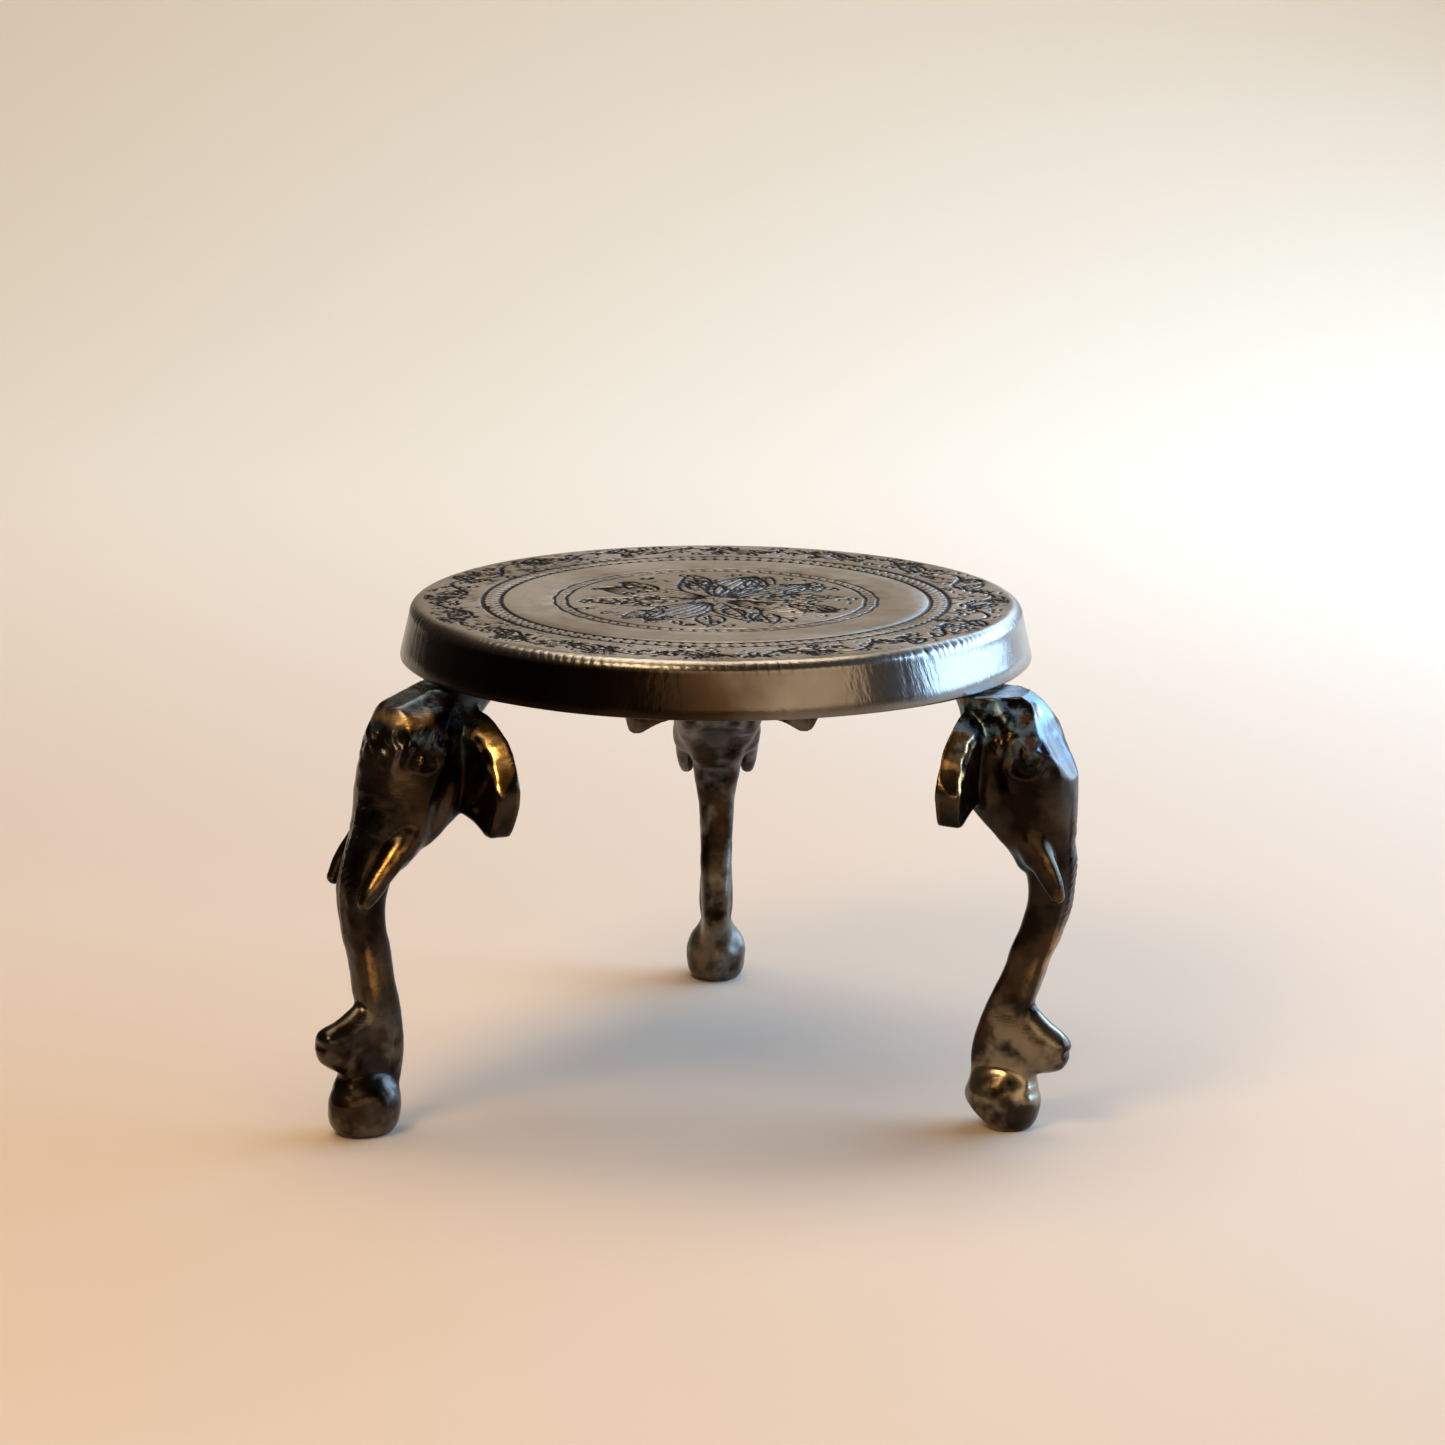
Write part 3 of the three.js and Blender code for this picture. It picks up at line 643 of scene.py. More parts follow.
def set_leg(points, leg):
    """Bends, leans and turns points of the figure, still in the leg's own frame."""
    points = points - np.array([FOOT_X, 0, BEND_Z])
    share = smooth_step(-points[..., 2], -BEND_SPREAD, BEND_SPREAD)
    points = turned(points, 0, 2, math.radians(leg["bend"]) * share)
    points = turned(points, 0, 1, math.radians(leg["twist"]) * (1 - share))
    points = turned(points, 0, 2, math.radians(leg["lean"]))
    points = turned(points, 0, 1, math.radians(leg["turn"]))
    return points + np.array([FOOT_X, 0, BEND_Z])


def palm_field(x, y, z):
    """The flat plate that seats under the tray, before its two screw holes are cut."""
    inner, outer, half = SCREW_REACH - 5.5, TRAY_RADIUS + 2, SCREW_SPREAD + 3.6
    corner, rounding = 4, 0.4
    plan = rounded_meet(np.abs(x - (inner + outer) / 2) - (outer - inner) / 2, np.abs(y) - half, corner)
    middle, thick = (PALM_BOTTOM + PALM_TOP + 1) / 2, (PALM_THICKNESS + 1) / 2
    return rounded_meet(plan, np.abs(z - middle) - thick, rounding)


def screw_holes(x, y, z):
    bore = np.hypot(x - SCREW_REACH, np.abs(y) - SCREW_SPREAD) - SCREW_HOLE_RADIUS
    return np.maximum(bore, PALM_BOTTOM - 2 - z)


def tray_keep_out(x, y, z):
    """Distance to the space that the tray takes, grown by the seating gap."""
    reach = np.hypot(x, y)
    under_rim = np.maximum(RIM_BOTTOM - GAP - z, INNER_RADIUS - GAP - reach)
    return np.minimum(under_rim, PALM_TOP - z)


def sculpt_leg(leg):
    """Points and faces of one leg in its own frame, and what its finish needs to know about them."""
    clay = Clay((35, -20.4, -2), (77, 20.4, 83), SCULPT_PITCH)
    field = figure_field(clay, leg)
    grid = np.stack(np.broadcast_arrays(clay.x, clay.y, clay.z), -1)
    x, y, z = np.moveaxis(set_leg(grid, leg), -1, 0)
    field = blend_min(field, palm_field(x, y, z), 1.6)
    field = np.maximum(field, -screw_holes(x, y, z))
    field = np.maximum(field, -tray_keep_out(x, y, z))
    field = np.maximum(field, -z).astype(np.float32)
    points, faces = clay.skin(field)
    points = clay.settle(field, points)
    normal = clay.normal(field, points)
    hollow = np.zeros(len(points))
    edge = np.zeros(len(points))
    for reach in (0.8, 1.6, 3):
        hollow += np.clip(1 - clay.at(field, points + normal * reach) / reach, 0, 1) / 3
        edge += np.clip(1 + clay.at(field, points - normal * reach) / reach, 0, 1) / 3
    # golden rubbed brass together with a painted highlight, chosen by which way each face turns
    rub_and_highlight = rubbed_and_highlit(points, normal, leg)
    height = points[:, 2].copy()
    uneven = 0.12 * ripple(points, 9, leg["seed"]) + 0.035 * ripple(points, 3, leg["seed"] + 1)
    points = set_leg(points + normal * uneven[:, None], leg)
    points[:, 2] = np.clip(points[:, 2], 0, PALM_TOP)
    return points, faces, {"hollow": hollow, "edge": edge, "height": height, "rub_and_highlight": rub_and_highlight}


def around_axis(points, degrees):
    c, s = math.cos(math.radians(degrees)), math.sin(math.radians(degrees))
    x, y, z = points.T
    return np.stack([x * c - y * s + AXIS.x, x * s + y * c + AXIS.y, z], 1)


# ---- finishes ----

class Finish:
    """A node material, built a step at a time."""

    def __init__(self, name):
        self.material = bpy.data.materials.new(name)
        self.material.use_nodes = True
        self.nodes = self.material.node_tree.nodes
        self.links = self.material.node_tree.links
        self.nodes.clear()
        self.shader = self.add("ShaderNodeBsdfPrincipled")
        output = self.add("ShaderNodeOutputMaterial")
        self.links.new(self.shader.outputs[0], output.inputs[0])
        self.place = self.add("ShaderNodeNewGeometry").outputs["Position"]

    def add(self, kind, **settings):
        node = self.nodes.new(kind)
        for key, value in settings.items():
            setattr(node, key, value)
        return node

    def put(self, socket, value):
        if isinstance(value, bpy.types.NodeSocket):
            self.links.new(value, socket)
        else:
            socket.default_value = value

    def scaled(self, factors):
        node = self.add("ShaderNodeVectorMath", operation="MULTIPLY")
        self.links.new(self.place, node.inputs[0])
        node.inputs[1].default_value = factors
        return node.outputs[0]

    def noise(self, scale, detail=3, roughness=0.55, stretch=(1, 1, 1)):
        """Noise with `scale` features to a metre, 0 to 1."""
        node = self.add("ShaderNodeTexNoise")
        self.put(node.inputs["Vector"], self.scaled(stretch))
        for name, value in (("Scale", scale), ("Detail", detail), ("Roughness", roughness)):
            node.inputs[name].default_value = value
        return node.outputs[0]

    def math(self, operation, a, b=0.0):
        node = self.add("ShaderNodeMath", operation=operation)
        self.put(node.inputs[0], a)
        self.put(node.inputs[1], b)
        return node.outputs[0]

    def times(self, a, b):
        return self.math("MULTIPLY", a, b)

    def plus(self, a, b):
        return self.math("ADD", a, b)

    def patches(self, scale, detail, low, high):
        return self.ramp(self.noise(scale, detail), low, high)

    def tint(self, share, color):
        """Lays a colour over what is there, by its share."""
        self.color = self.mix(share, self.color, color)

    def ramp(self, value, low, high):
        """0 below low, 1 above high."""
        node = self.add("ShaderNodeMapRange", interpolation_type="SMOOTHSTEP")
        self.put(node.inputs[0], value)
        node.inputs[1].default_value, node.inputs[2].default_value = low, high
        return node.outputs[0]

    def span(self, value, low, high):
        node = self.add("ShaderNodeMapRange")
        self.put(node.inputs[0], value)
        node.inputs[3].default_value, node.inputs[4].default_value = low, high
        return node.outputs[0]

    def mix(self, share, a, b):
        node = self.add("ShaderNodeMix", data_type="RGBA")
        self.put(node.inputs[0], share)
        for socket, value in ((node.inputs[6], a), (node.inputs[7], b)):
            self.put(socket, value if isinstance(value, bpy.types.NodeSocket) else (*value, 1))
        return node.outputs[2]

    def marks(self, name):
        return self.add("ShaderNodeAttribute", attribute_name=name).outputs["Fac"]

    def axis(self, index):
        node = self.add("ShaderNodeSeparateXYZ")
        self.links.new(self.place, node.inputs[0])
        return node.outputs[index]

    def relief(self, height, depth, under=None):
        """Bump of a height field whose full swing is `depth` metres."""
        node = self.add("ShaderNodeBump")
        node.inputs["Distance"].default_value = depth
        self.put(node.inputs["Height"], height)
        if under is not None:
            self.links.new(under, node.inputs["Normal"])
        return node.outputs[0]

    def close(self, roughness, normal, metallic=1.0):
        sockets = {"Base Color": self.color, "Roughness": roughness, "Metallic": metallic, "Normal": normal}
        for name, value in sockets.items():
            self.put(self.shader.inputs[name], value)
        return self.material


SOOT = (0.008, 0.0055, 0.004)
UMBER = (0.011, 0.0065, 0.004)
BRONZE = (0.05, 0.031, 0.018)
OCHRE = (0.26, 0.145, 0.045)
GOLD = (0.56, 0.36, 0.135)
# pale colour of the rim's right side, a painted reflection of the window
RIM_REFLECTION = (0.22, 0.195, 0.17)
TAN = (0.27, 0.24, 0.21)
PALE = (0.46, 0.44, 0.42)
PATINA = (0.15, 0.14, 0.125)
WORN = (0.34, 0.275, 0.185)
# blue-green of the necks: partly verdigris, partly a painted window reflection
VERDIGRIS_AND_REFLECTION = (0.1, 0.2, 0.3)
MOSS = (0.02, 0.045, 0.03)


def cast_brass(name, bright, green_and_reflection, dull, gold_and_highlight, worn):
    """Dark hand-finished casting: sooty hollows, near-black skin, golden where it is rubbed and where a
    highlight is painted, and verdigris at the neck that also stands for a painted blue window reflection.
    """
    finish = Finish(name)
    cloud = finish.noise(95, 4)
    fine = finish.noise(520, 4, 0.65)
    hollow = finish.plus(finish.marks("hollow"), finish.span(cloud, -0.16, 0.16))
    edge = finish.plus(finish.marks("edge"), finish.span(fine, -0.12, 0.12))
    rub_and_highlight = finish.times(finish.marks("rub_and_highlight"), finish.span(finish.ramp(fine, 0.3, 0.6), 0.55 * gold_and_highlight, gold_and_highlight))
    finish.color = finish.mix(finish.ramp(cloud, 0.4, 0.68), UMBER, BRONZE)
    finish.tint(finish.times(finish.patches(150, 3, 0.42, 0.62), dull), PATINA)
    low = finish.times(finish.ramp(finish.marks("height"), 27, 12), worn)
    finish.tint(finish.times(finish.patches(130, 3, 0.44, 0.6), low), WORN)
    finish.tint(finish.times(finish.ramp(edge, 0.34, 0.6), bright), OCHRE)
    # Painted highlight mixed with rubbed brass: ochre, then gold, on the faces the rub mark picks out
    finish.tint(finish.ramp(rub_and_highlight, 0.15, 0.5), OCHRE)
    finish.tint(finish.ramp(rub_and_highlight, 0.4, 0.85), GOLD)
    finish.tint(finish.ramp(hollow, 0.24, 0.5), SOOT)
    moss = finish.times(finish.patches(170, 3, 0.52, 0.66), finish.ramp(hollow, 0.08, 0.3))
    finish.tint(finish.times(moss, 0.6), MOSS)
    # Verdigris at the neck, its blue also a painted reflection of the window light, strongest on the right
    # leg
    neck = finish.ramp(finish.marks("height"), RIM_BOTTOM - 13, RIM_BOTTOM - 2)
    bloom_and_reflection = finish.times(finish.times(neck, finish.patches(300, 4, 0.44, 0.62)), green_and_reflection)
    finish.tint(bloom_and_reflection, VERDIGRIS_AND_REFLECTION)
    rough = finish.plus(finish.span(cloud, 0.13, 0.3), finish.times(finish.ramp(hollow, 0.2, 0.6), 0.25))
    rough = finish.plus(finish.plus(rough, finish.times(bloom_and_reflection, 0.2)), dull * 0.2)
    metal = finish.math("SUBTRACT", 1.0, finish.times(bloom_and_reflection, 0.5))
    pits = finish.relief(finish.noise(900, 3, 0.6), 0.00002 + 0.00008 * dull)
    files = finish.relief(finish.noise(260, 2, 0.5, (1, 1, 9)), 0.00002, pits)
    return finish.close(rough, files, metal)


def tray_brass():
    """Dull satin brass with dark cuts, brown clouds and fine scratches; its rim is painted darker on the left
    as shade and paler on the right as a window's reflection.
    """
    finish = Finish("tray_brass")
    cloud = finish.noise(48, 5, 0.6)
    fine = finish.noise(640, 4, 0.65)
    cut = finish.marks("engraved")
    side = finish.marks("side")
    finish.color = finish.mix(finish.ramp(cloud, 0.38, 0.66), TAN, PALE)
    finish.tint(finish.times(finish.ramp(fine, 0.5, 0.75), 0.3), BRONZE)
    # Painted light on the rim's side: darker brown to the left as painted shade, a pale colour to the right
    # as a painted window reflection, broken up by noise
    stain_and_side_light = finish.plus(finish.ramp(finish.axis(0), -0.04, 0.05), finish.span(finish.noise(60, 4), -0.3, 0.3))
    brown = finish.mix(finish.ramp(stain_and_side_light, 0.1, 0.5), UMBER, BRONZE)
    finish.tint(side, finish.mix(finish.ramp(stain_and_side_light, 0.4, 0.9), brown, RIM_REFLECTION))
    finish.tint(finish.ramp(cut, 0.04, 0.45), SOOT)
    rough = finish.plus(finish.span(cloud, 0.26, 0.42), finish.times(cut, 0.3))
    rough = finish.math("SUBTRACT", rough, finish.times(side, 0.12))
    scratches = finish.relief(finish.noise(420, 2, 0.5, (1, 6, 1)), 0.00004)
    brushed = finish.relief(finish.noise(500, 3, 0.6, (1, 1, 0.12)), 0.00006, scratches)
    dents = finish.relief(finish.noise(150, 3, 0.5), 0.00006, brushed)
    return finish.close(rough, dents)


def screw_brass():
    finish = Finish("screw_brass")
    cloud = finish.noise(400, 4)
    finish.color = finish.mix(finish.ramp(cloud, 0.4, 0.62), BRONZE, GOLD)
    finish.tint(finish.ramp(finish.marks("hollow"), 0.2, 0.5), SOOT)
    grain = finish.relief(finish.noise(1500, 3), 0.00005)
    return finish.close(finish.span(cloud, 0.25, 0.45), grain)


# ---- engraving of the top face ----

class Engraving:
    """Depth of the graver's cuts on a square raster over the top face, in millimetres."""

    PITCH = 0.09

    def __init__(self, reach):
        self.reach = reach
        self.count = int(2 * reach / self.PITCH) + 2
        self.stamps = []

    def cut(self, points, width, depth, taper=0.9):
        points = np.asarray(points, float)
        runs = np.concatenate([[0], np.cumsum(np.hypot(*np.diff(points, axis=0).T))])
        total = runs[-1]
        if total < self.PITCH:
            return
        t = np.linspace(0, total, int(total / self.PITCH) + 2)
        x, y = np.interp(t, runs, points[:, 0]), np.interp(t, runs, points[:, 1])
        ends = np.clip(np.minimum(t, total - t) / taper, 0.3, 1) if taper else np.ones(len(t))
        self.stamps.append(np.stack([x, y, width / 2 * (0.5 + 0.5 * ends), depth * ends], 1))

    def raster(self):
        x, y, half, deep = np.vstack(self.stamps).T
        cells = np.zeros((self.count, self.count))
        across, up = (x + self.reach) / self.PITCH, (y + self.reach) / self.PITCH
        span = int(half.max() / self.PITCH) + 1
        for i in range(-span, span + 1):
            for j in range(-span, span + 1):
                ci, cj = np.rint(across).astype(int) + i, np.rint(up).astype(int) + j
                away = np.hypot(ci - across, cj - up) * self.PITCH
                value = deep * np.clip(1 - (away / half) ** 2, 0, 1)
                good = (value > 0) & (ci >= 0) & (cj >= 0) & (ci < self.count) & (cj < self.count)
                np.maximum.at(cells, (ci[good], cj[good]), value[good])
        return cells

    def depth_at(self, points):
        return sampled(self.raster(), (points + self.reach) / self.PITCH)

    def circle(self, radius, width, depth, wave=0, waves=0):
        """A circle that waves in and out."""
        turn = np.linspace(0, TURN, 1600)
        self.cut(polar(radius + wave * np.sin(turn * waves), turn), width, depth, 0)

    def ticks(self, count, inner, outer, slant, width, depth):
        """Short cuts side by side round the plate."""
        for i in range(count):
            angle = TURN * i / count
            self.cut([polar(inner, angle), polar(outer, angle + slant)], width, depth, 0.3)


def polar(radius, angle):
    return np.stack([radius * np.cos(angle), radius * np.sin(angle)], -1)


def placed(points, at, heading, size=1.0, flip=1):
    """Points drawn along +x, moved to `at` and turned to `heading` radians."""
    points = np.asarray(points, float) * size * np.array([1, flip])
    c, s = math.cos(heading), math.sin(heading)
    return points @ np.array([[c, s], [-s, c]]) + np.asarray(at)


def almond(length, width, sway=0.0):
    """The two edges of a leaf from its stalk at the origin to its point."""
    t = np.linspace(0, 1, 24)
    middle = sway * np.sin(math.pi * t)
    belly = width / 2 * np.sin(math.pi * t ** 0.8)
    return [np.stack([length * t, middle + side * belly], 1) for side in (-1, 1)]


def leaf(plate, at, heading, length, width, veins=5, sway=0.0, rib=True):
    """An outlined leaf with a midrib and slanting veins."""
    t = np.linspace(0, 1, 24)
    for edge in almond(length, width, sway):
        plate.cut(placed(edge, at, heading), 0.7, 0.36)
    if rib:
        middle = np.stack([length * (0.04 + 0.86 * t), sway * np.sin(math.pi * (0.04 + 0.86 * t))], 1)
        plate.cut(placed(middle, at, heading), 0.6, 0.3)
    for i in range(veins):
        share = 0.16 + 0.62 * i / max(veins - 1, 1)
        reach = width / 2 * math.sin(math.pi * share ** 0.8) * 0.82
        for side in (-1, 1):
            start = (length * share, sway * math.sin(math.pi * share))
            end = (length * (share + 0.13), start[1] + side * reach)
            plate.cut(placed([start, end], at, heading), 0.55, 0.28)


def feather(plate, at, heading, length, width, lines=5):
    """A spray of long lines that run side by side and meet at the tip."""
    t = np.linspace(0, 1, 30)
    for i in range(lines):
        offset = (i / (lines - 1) - 0.5) * width
        line = np.stack([length * t, offset * np.sin(math.pi * np.minimum(t * 1.05, 1)) ** 0.7], 1)
        edge = i in (0, lines - 1)
        width_and_depth = (0.7, 0.36) if edge else (0.58, 0.3)
        plate.cut(placed(line, at, heading), *width_and_depth)


def tendril(plate, at, heading, size, flip=1, turns=1.2):
    t = np.linspace(0, 1, 30)
    angle = t * turns * TURN
    radius = size * (1 - t) ** 0.8
    spiral = np.stack([size - radius * np.cos(angle), radius * np.sin(angle)], 1)
    plate.cut(placed(spiral, at, heading, 1, flip), 0.62, 0.34)


def sprigs(plate, count, inner, outer, rng):
    """Small hooked cuts and seed leaves strewn over a band."""
    for i in range(count):
        angle = TURN * (i + rng.uniform(0, 1)) / count
        at, heading = polar(rng.uniform(inner, outer), angle), rng.uniform(0, TURN)
        bend = rng.uniform(-1, 1)
        if i % 4 == 0:
            leaf(plate, at, heading, rng.uniform(2.2, 3.4), 1.5, 0, 0.3 * bend, False)
        else:
            hook = placed([(0, 0), (1, 0.3 * bend), (2, 1.3 * bend)], at, heading)
            plate.cut(hook, 0.6, 0.34)


def vine_band(plate, inner, outer, rng):
    """A wavy stem round the border with leaves, curls and hatching in its bays."""
    bays = 32
    middle, swing = (inner + outer) / 2, (outer - inner) * 0.27
    plate.circle(middle, 0.75, 0.38, swing, bays / 2)
    for i in range(bays):
        centre = (i + 0.5) * TURN / bays
        side = -1 if i % 2 == 0 else 1
        jitter = rng.uniform(-0.25, 0.25)
        bay = middle + side * swing * 0.55
        at = polar(middle - side * swing * 0.3, centre - 0.06)
        leaf(plate, at, centre + side * (0.95 + jitter), 6.2 + rng.uniform(-0.8, 0.6), 2.9, 4, 0.5 * side)
        tendril(plate, polar(bay, centre + 0.075), centre + math.pi / 2 + jitter, 1.15, side)
        inside = polar(middle + side * swing * 1.1, centre - 0.09)
        tendril(plate, inside, centre - 1.2 + jitter, 0.95, -side, 0.9)
        for k in range(5):
            angle = centre + (k - 2) * 0.022 + 0.11 * side
            base = middle - side * (swing * 1.35 + rng.uniform(0, 0.5))
            far = polar(base - side * rng.uniform(0.9, 1.5), angle + 0.012)
            plate.cut([polar(base, angle), far], 0.55, 0.3)
    sprigs(plate, 560, inner + 0.4, outer - 0.6, rng)


def milled_ring(plate, inner, outer):
    """Two incised circles and, between them, a row of slanting dashes beside each."""
    for radius in (inner, outer):
        plate.circle(radius, 0.8, 0.35)
    plate.ticks(120, inner + 0.35, inner + 1.2, 0.016, 0.8, 0.38)
    plate.ticks(120, outer - 1.3, outer - 0.2, 0.02, 0.6, 0.34)


def medallion(plate, radius, rng):
    """A wavy doubled circle round a loose flower of leaves and feathers."""
    plate.circle(radius, 0.66, 0.32, 0.12, 23)
    plate.circle(radius + 2.1, 0.58, 0.28, 0.1, 31)
    plate.ticks(84, radius + 0.5, radius + 1.6, 0.02, 0.55, 0.3)
    petals = [
        (73, 3, 21.5, 10, "feather"),
        (42, 4, 20, 9.5, "feather"),
        (8, 5, 18.5, 8, "leaf"),
        (-27, 3, 22, 9, "feather"),
        (-74, 4, 17, 8, "leaf"),
        (-122, 4, 20, 9.5, "feather"),
        (-172, 5, 18, 8, "leaf"),
        (153, 3, 21.5, 9, "feather"),
        (106, 5, 17, 8, "leaf"),
    ]
    for degrees, start, length, width, kind in petals:
        angle = math.radians(degrees)
        at = polar(start * 0.7, angle)
        if kind == "feather":
            feather(plate, at, angle, length, width, 7)
        else:
            leaf(plate, at, angle, length, width, 6, rng.uniform(-1, 1))
            leaf(plate, polar(start + length * 0.2, angle), angle, length * 0.5, width * 0.45, 0, 0, False)
    for i in range(18):
        angle = math.radians(20 * i + rng.uniform(-5, 5))
        tendril(plate, polar(radius - 4.4, angle), angle + rng.uniform(-1.2, 1.2), 1.3, rng.choice([-1, 1]))
    for i in range(9):
        angle = math.radians(40 * i + 24)
        heading = angle + rng.uniform(-0.5, 0.5)
        leaf(plate, polar(radius * 0.5, angle), heading, 10.5, 5, 4, rng.uniform(-0.6, 0.6))
    sprigs(plate, 150, radius * 0.35, radius - 2, rng)
    for i in range(40):
        angle, reach = rng.uniform(0, TURN), rng.uniform(0.3, 3.4)
        at = polar(reach, angle)
        plate.cut([at, at + rng.uniform(-0.5, 0.5, 2)], 0.6, 0.28, 0.2)


def engrave():
    rng = np.random.default_rng(7)
    plate = Engraving(FACE_RADIUS + 1)
    milled_ring(plate, RING_INNER, RING_OUTER)
    medallion(plate, MEDALLION_RADIUS, rng)
    vine_band(plate, RING_OUTER + 1.2, FACE_RADIUS - 0.4, rng)
    return plate


# ---- tray ----

def ring(radius, height, count, middle=(0, 0)):
    angle = TURN * np.arange(count) / count
    x, y = middle[0] + radius * np.cos(angle), middle[1] + radius * np.sin(angle)
    return np.stack([x, y, np.full(count, height)], 1)



def ring_plan():
    """Rows of the tray's surface from the middle of the top face round to the middle of the underside:
    radius, height, how many points go round, and 1 on the rim."""
    rows = []

    def flat(start, end, step, count):
        steps = max(1, round((end - start) / step))
        for i in range(steps):
            rows.append((start + (end - start) * i / steps, STAND_HEIGHT, count, 0))

    flat(0.4, 6.5, 0.4, 120)
    flat(6.5, 13.5, 0.32, 240)
    flat(13.5, 28.6, 0.3, 480)
    flat(28.6, 36.8, 2.7, 960)
    flat(36.8, FACE_RADIUS, 0.32, 960)
    for i in range(8):
        angle = math.pi / 2 * i / 7
        radius = FACE_RADIUS + BEVEL_RUN * math.sin(angle)
        rows.append((radius, STAND_HEIGHT - BEVEL_DROP * (1 - math.cos(angle)), 960, i / 7))
    top, low = STAND_HEIGHT - BEVEL_DROP, RIM_BOTTOM + 0.4
    for share in (0.15, 0.4, 0.7, 1):
        rows.append((BEVEL_RADIUS + (TRAY_RADIUS - BEVEL_RADIUS) * share, top + (low - top) * share, 960, 1))
    for i in range(1, 4):
        angle = math.pi / 2 * i / 3
        rows.append((TRAY_RADIUS - 0.4 + 0.4 * math.cos(angle), low - 0.4 * math.sin(angle), 960, 1))
    rows.append((TRAY_RADIUS - WALL_THICKNESS + 0.4, RIM_BOTTOM, 960, 1))
    rows.append((TRAY_RADIUS - WALL_THICKNESS, RIM_BOTTOM + 0.4, 480, 1))
    rows.append((INNER_RADIUS + 0.6, PLATE_BOTTOM - 3, 240, 1))
    for i in range(4):
        angle = math.pi / 2 * i / 3
        radius = INNER_RADIUS - 1.2 * (1 - math.cos(angle))
        rows.append((radius, PLATE_BOTTOM - 1.2 * (1 - math.sin(angle)), 240, 1))
    for radius in (44, 36, 28, 20):
        rows.append((radius, PLATE_BOTTOM, 240, 1))
    for radius in (12, 6, 2):
        rows.append((radius, PLATE_BOTTOM, 120, 1))
    return rows


def tray_surface():
    rows = ring_plan()
    starts, points, sides, faces = [], [], [], []
    total = 0
    for radius, height, count, side in rows:
        starts.append(total)
        total += count
        points.append(ring(radius, height, count))
        sides.append(np.full(count, side, float))
    for (_, _, near, _), (_, _, far, _), a, b in zip(rows, rows[1:], starts, starts[1:]):
        low = min(near, far)
        i = np.arange(low)
        j = (i + 1) % low
        if near == far:
            faces += np.stack([a + i, b + i, b + j, a + j], 1).tolist()
            continue
        few, many = (a, b) if far > near else (b, a)
        halves = (few + i, many + 2 * i, many + 2 * i + 1, few + j, many + (2 * i + 2) % (2 * low))
        for corners in ((0, 1, 2), (0, 2, 3), (3, 2, 4)):
            order = corners if far > near else (corners[1], corners[0], corners[2])
            faces += np.stack([halves[c] for c in order], 1).tolist()
    points = np.vstack([*points, [[0, 0, STAND_HEIGHT], [0, 0, PLATE_BOTTOM]]])
    sides = np.concatenate([*sides, [0, 1]])
    first, last = rows[0][2], rows[-1][2]
    faces += [[total, i, (i + 1) % first] for i in range(first)]
    faces += [[total + 1, starts[-1] + (i + 1) % last, starts[-1] + i] for i in range(last)]
    return points, faces, sides


def boss_surface(place, start):
    """A turned boss with a drilled hole, on the underside of the plate."""
    count = 40
    profile = [
        (BOSS_RADIUS + 0.6, PLATE_BOTTOM + 0.15), (BOSS_RADIUS + 0.1, PLATE_BOTTOM - 0.3),
        (BOSS_RADIUS, BOSS_BOTTOM + 0.3), (BOSS_RADIUS - 0.3, BOSS_BOTTOM),
        (SCREW_HOLE_RADIUS + 0.2, BOSS_BOTTOM), (SCREW_HOLE_RADIUS, BOSS_BOTTOM + 0.2),
        (SCREW_HOLE_RADIUS, PLATE_BOTTOM + 0.15),
    ]
    rings = [ring(radius, height, count, place) for radius, height in profile]
    faces = []
    i = np.arange(count)
    j = (i + 1) % count
    for row in range(len(profile)):
        a, b = start + row * count, start + (row + 1) % len(profile) * count
        faces += np.stack([a + i, a + j, b + j, b + i], 1)[:, ::-1].tolist()
    return np.vstack(rings), faces


def screw_places():
    for leg in LEGS:
        for side, letter in ((-1, "a"), (1, "b")):
            at = around_axis(np.array([[SCREW_REACH, side * SCREW_SPREAD, 0]]), leg["around"])[0]
            yield f"{leg['name']}_{letter}", at


def build_tray():
    points, faces, sides = tray_surface()
    reach = np.hypot(points[:, 0], points[:, 1])
    top = (points[:, 2] > STAND_HEIGHT - 0.01) & (reach < FACE_RADIUS)
    depth = np.zeros(len(points))
    depth[top] = engrave().depth_at(points[top, :2])
    fade = smooth_step(FACE_RADIUS + 0.2 - reach, 0, 0.5)
    points[:, 2] -= depth * fade
    angle = np.arctan2(points[:, 1], points[:, 0])
    above_rim = points[:, 2] > STAND_HEIGHT - BEVEL_DROP - 0.6
    bevel = bump(reach, FACE_RADIUS + BEVEL_RUN * 0.75, 1.1) * above_rim
    patches = np.clip(0.45 + 0.6 * ripple(points, 16, 5), 0, 1)
    nicks = np.clip(np.cos(angle * 192 + 4 * ripple(points, 11, 6)), 0, 1) ** 2 * patches * bevel
    uneven = 0.1 * ripple(points, 24, 3) * smooth_step(reach, FACE_RADIUS, TRAY_RADIUS)
    inwards = (EDGE_GUARD + 0.09 * nicks + np.abs(uneven)) * (reach > FACE_RADIUS)
    shrink = 1 - inwards / np.maximum(reach, 1)
    points[:, :2] *= shrink[:, None]
    points[:, 2] -= 0.07 * nicks
    engraved = np.clip(depth * fade / 0.3, 0, 1) + 0.5 * nicks
    points = points + np.array([AXIS.x, AXIS.y, 0])
    meshes, extra = [points], []
    start = len(points)
    for _, place in screw_places():
        ring_points, ring_faces = boss_surface(place, start)
        meshes.append(ring_points)
        extra += ring_faces
        start += len(ring_points)
    added = start - len(points)
    marks = {
        "engraved": np.concatenate([engraved, np.zeros(added)]),
        "side": np.concatenate([sides, np.ones(added)]),
    }
    tray = make_piece("tray_casting", np.vstack(meshes), [*faces, *extra], tray_brass(), marks)
    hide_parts("tray_top")


# ---- screws ----

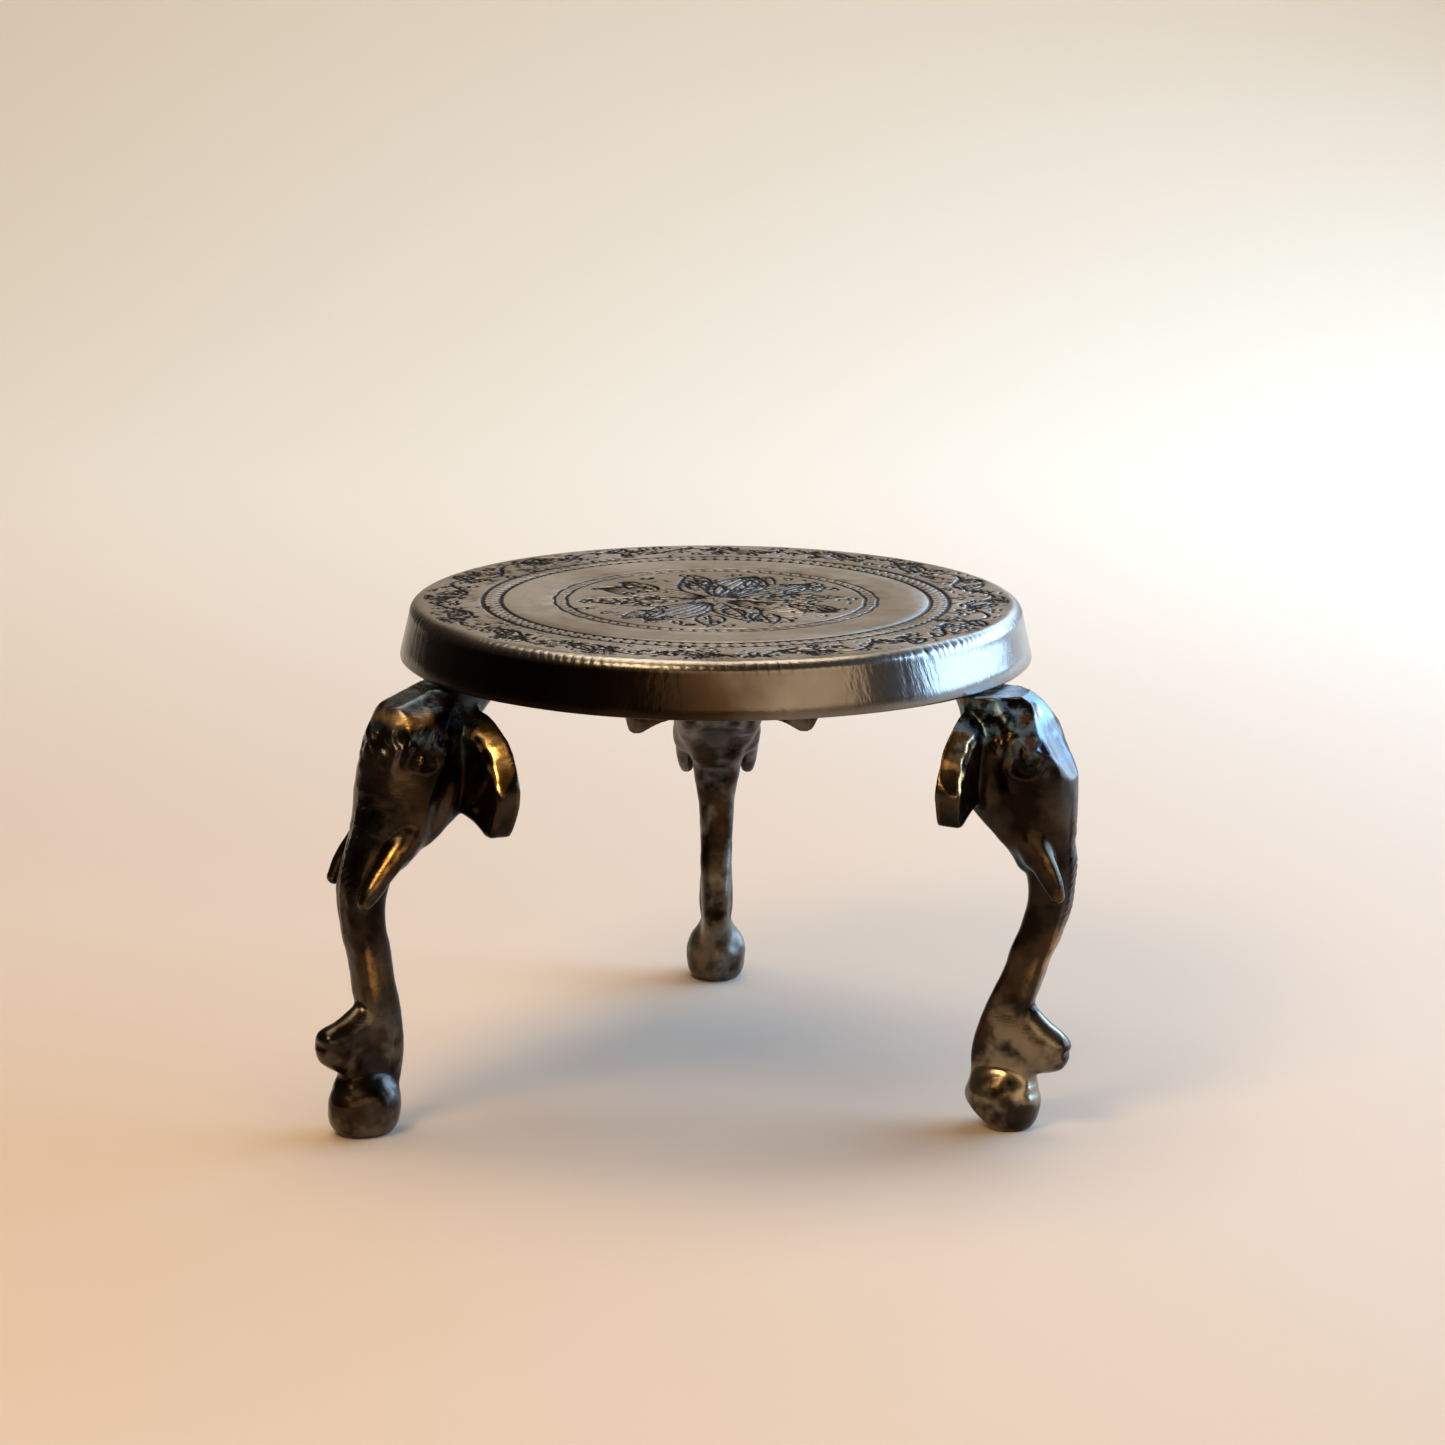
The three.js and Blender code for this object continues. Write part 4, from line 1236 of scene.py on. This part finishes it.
def screw_shape():
    """A slotted round-head screw, head down, its seat at z = 0."""
    clay = Clay((-3.3, -3.3, -2.2), (3.3, 3.3, 8), 0.14)
    reach = np.hypot(clay.x, clay.y)
    head = np.sqrt((reach / 2.8) ** 2 + (np.minimum(clay.z, 0) / 1.7) ** 2) - 1
    head = np.maximum(head * 1.7, clay.z)
    turn = np.arctan2(clay.y, clay.x) / (TURN)
    thread = 0.5 + 0.5 * np.cos(TURN * (clay.z / 0.75 - turn))
    shank = reach - 1.5 + 0.22 * thread * smooth_step(clay.z, 0.6, 1.2)
    length = GAP + PALM_THICKNESS + GAP + SCREW_BITE
    shank = np.maximum(shank, np.maximum(-clay.z - 0.5, clay.z - length + np.maximum(reach - 1, 0)))
    body = blend_min(head, shank, 0.2)
    slot = np.maximum(np.abs(clay.y) - 0.4, clay.z + 0.9) + 0 * clay.x
    field = blend_cut(body, slot, 0.12).astype(np.float32)
    points, faces = clay.skin(field)
    points = clay.settle(field, points)
    normal = clay.normal(field, points)
    hollow = np.clip(1 - clay.at(field, points + normal * 0.5) / 0.5, 0, 1)
    return points, faces, hollow


def build_screws():
    points, faces, hollow = screw_shape()
    material = screw_brass()
    for index, (name, place) in enumerate(screw_places()):
        c, s = math.cos(0.7 * index), math.sin(0.7 * index)
        at = points @ np.array([[c, s, 0], [-s, c, 0], [0, 0, 1]])
        at += np.array([place[0], place[1], PALM_BOTTOM - GAP])
        screw = make_piece(f"round_head_screw_{name}", at, faces, material, {"hollow": hollow})
        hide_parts(f"screw_{name}")


def build_legs():
    for leg in LEGS:
        material = cast_brass(f"{leg['name']}_leg_brass", *leg["wear_and_sheen"])
        points, faces, marks = sculpt_leg(leg)
        points = around_axis(points, leg["around"])
        casting = make_piece(f"elephant_leg_{leg['name']}", points, faces, material, marks)
        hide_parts(f"leg_{leg['name']}")


# ---- the room ----

def backdrop_paper():
    """Plain paper, pale tan on the floor and cream where it turns up behind the object."""
    finish = Finish("floor")
    finish.color = finish.mix(finish.ramp(finish.axis(1), 0.1, 0.8), (0.58, 0.455, 0.35), (0.84, 0.73, 0.58))
    finish.tint(finish.span(finish.noise(3, 2), 0, 0.06), (0.5, 0.4, 0.3))
    return finish.close(0.8, finish.relief(finish.noise(900, 2), 0.00002), 0.0)


def build_room():
    """A pale floor that turns up into a backdrop behind the object, and ends not far to its left."""
    left, right, front, back, wall, radius = -0.5, 3.0, -1.6, 1.4, 1.6, 0.7
    profile = [(front, 0), (back - radius, 0)]
    for i in range(1, 17):
        angle = math.pi / 2 * i / 16
        profile.append((back - radius + radius * math.sin(angle), radius * (1 - math.cos(angle))))
    profile.append((back, wall))
    points = [(x, y, z) for x in (left, right) for y, z in profile]
    rows = len(profile)
    faces = [(i, i + rows, i + rows + 1, i + 1) for i in range(rows - 1)]
    floor = add_mesh("floor", points, faces, backdrop_paper())


def area_light(name, at, size, power, color, target=(0, 0, 0.05)):
    data = bpy.data.lights.new(name, "AREA")
    data.shape = "RECTANGLE"
    data.size, data.size_y = size
    data.energy, data.color = power, color
    light = add_object(name, data)
    light.location = at
    light.rotation_euler = (Vector(target) - Vector(at)).to_track_quat("-Z", "Y").to_euler()


def light_room():
    area_light("window", (0.72, 0.24, 0.3), (0.85, 0.5), 15, (0.38, 0.64, 1.0))
    area_light("back_soft", (0.45, 0.8, 0.5), (0.5, 0.3), 3, (0.45, 0.7, 1.0))
    area_light("front_soft", (0.35, -1.2, 0.36), (1.8, 0.5), 4.5, (1.0, 0.78, 0.52))
    area_light("warm_lamp", (-0.3, -0.45, 0.6), (0.26, 0.26), 3, (1.0, 0.72, 0.4))
    area_light("overhead", (-0.1, 0.3, 1.3), (1.2, 0.8), 13, (1.0, 0.86, 0.68))
    world = bpy.data.worlds.new("studio")
    world.use_nodes = True
    background = world.node_tree.nodes["Background"]
    background.inputs[0].default_value = (0.9, 0.72, 0.55, 1)
    background.inputs[1].default_value = 0.1
    bpy.context.scene.world = world
    bpy.context.scene.view_settings.view_transform = "Standard"


set_camera()
build_room()
light_room()
build_legs()
build_tray()
build_screws()
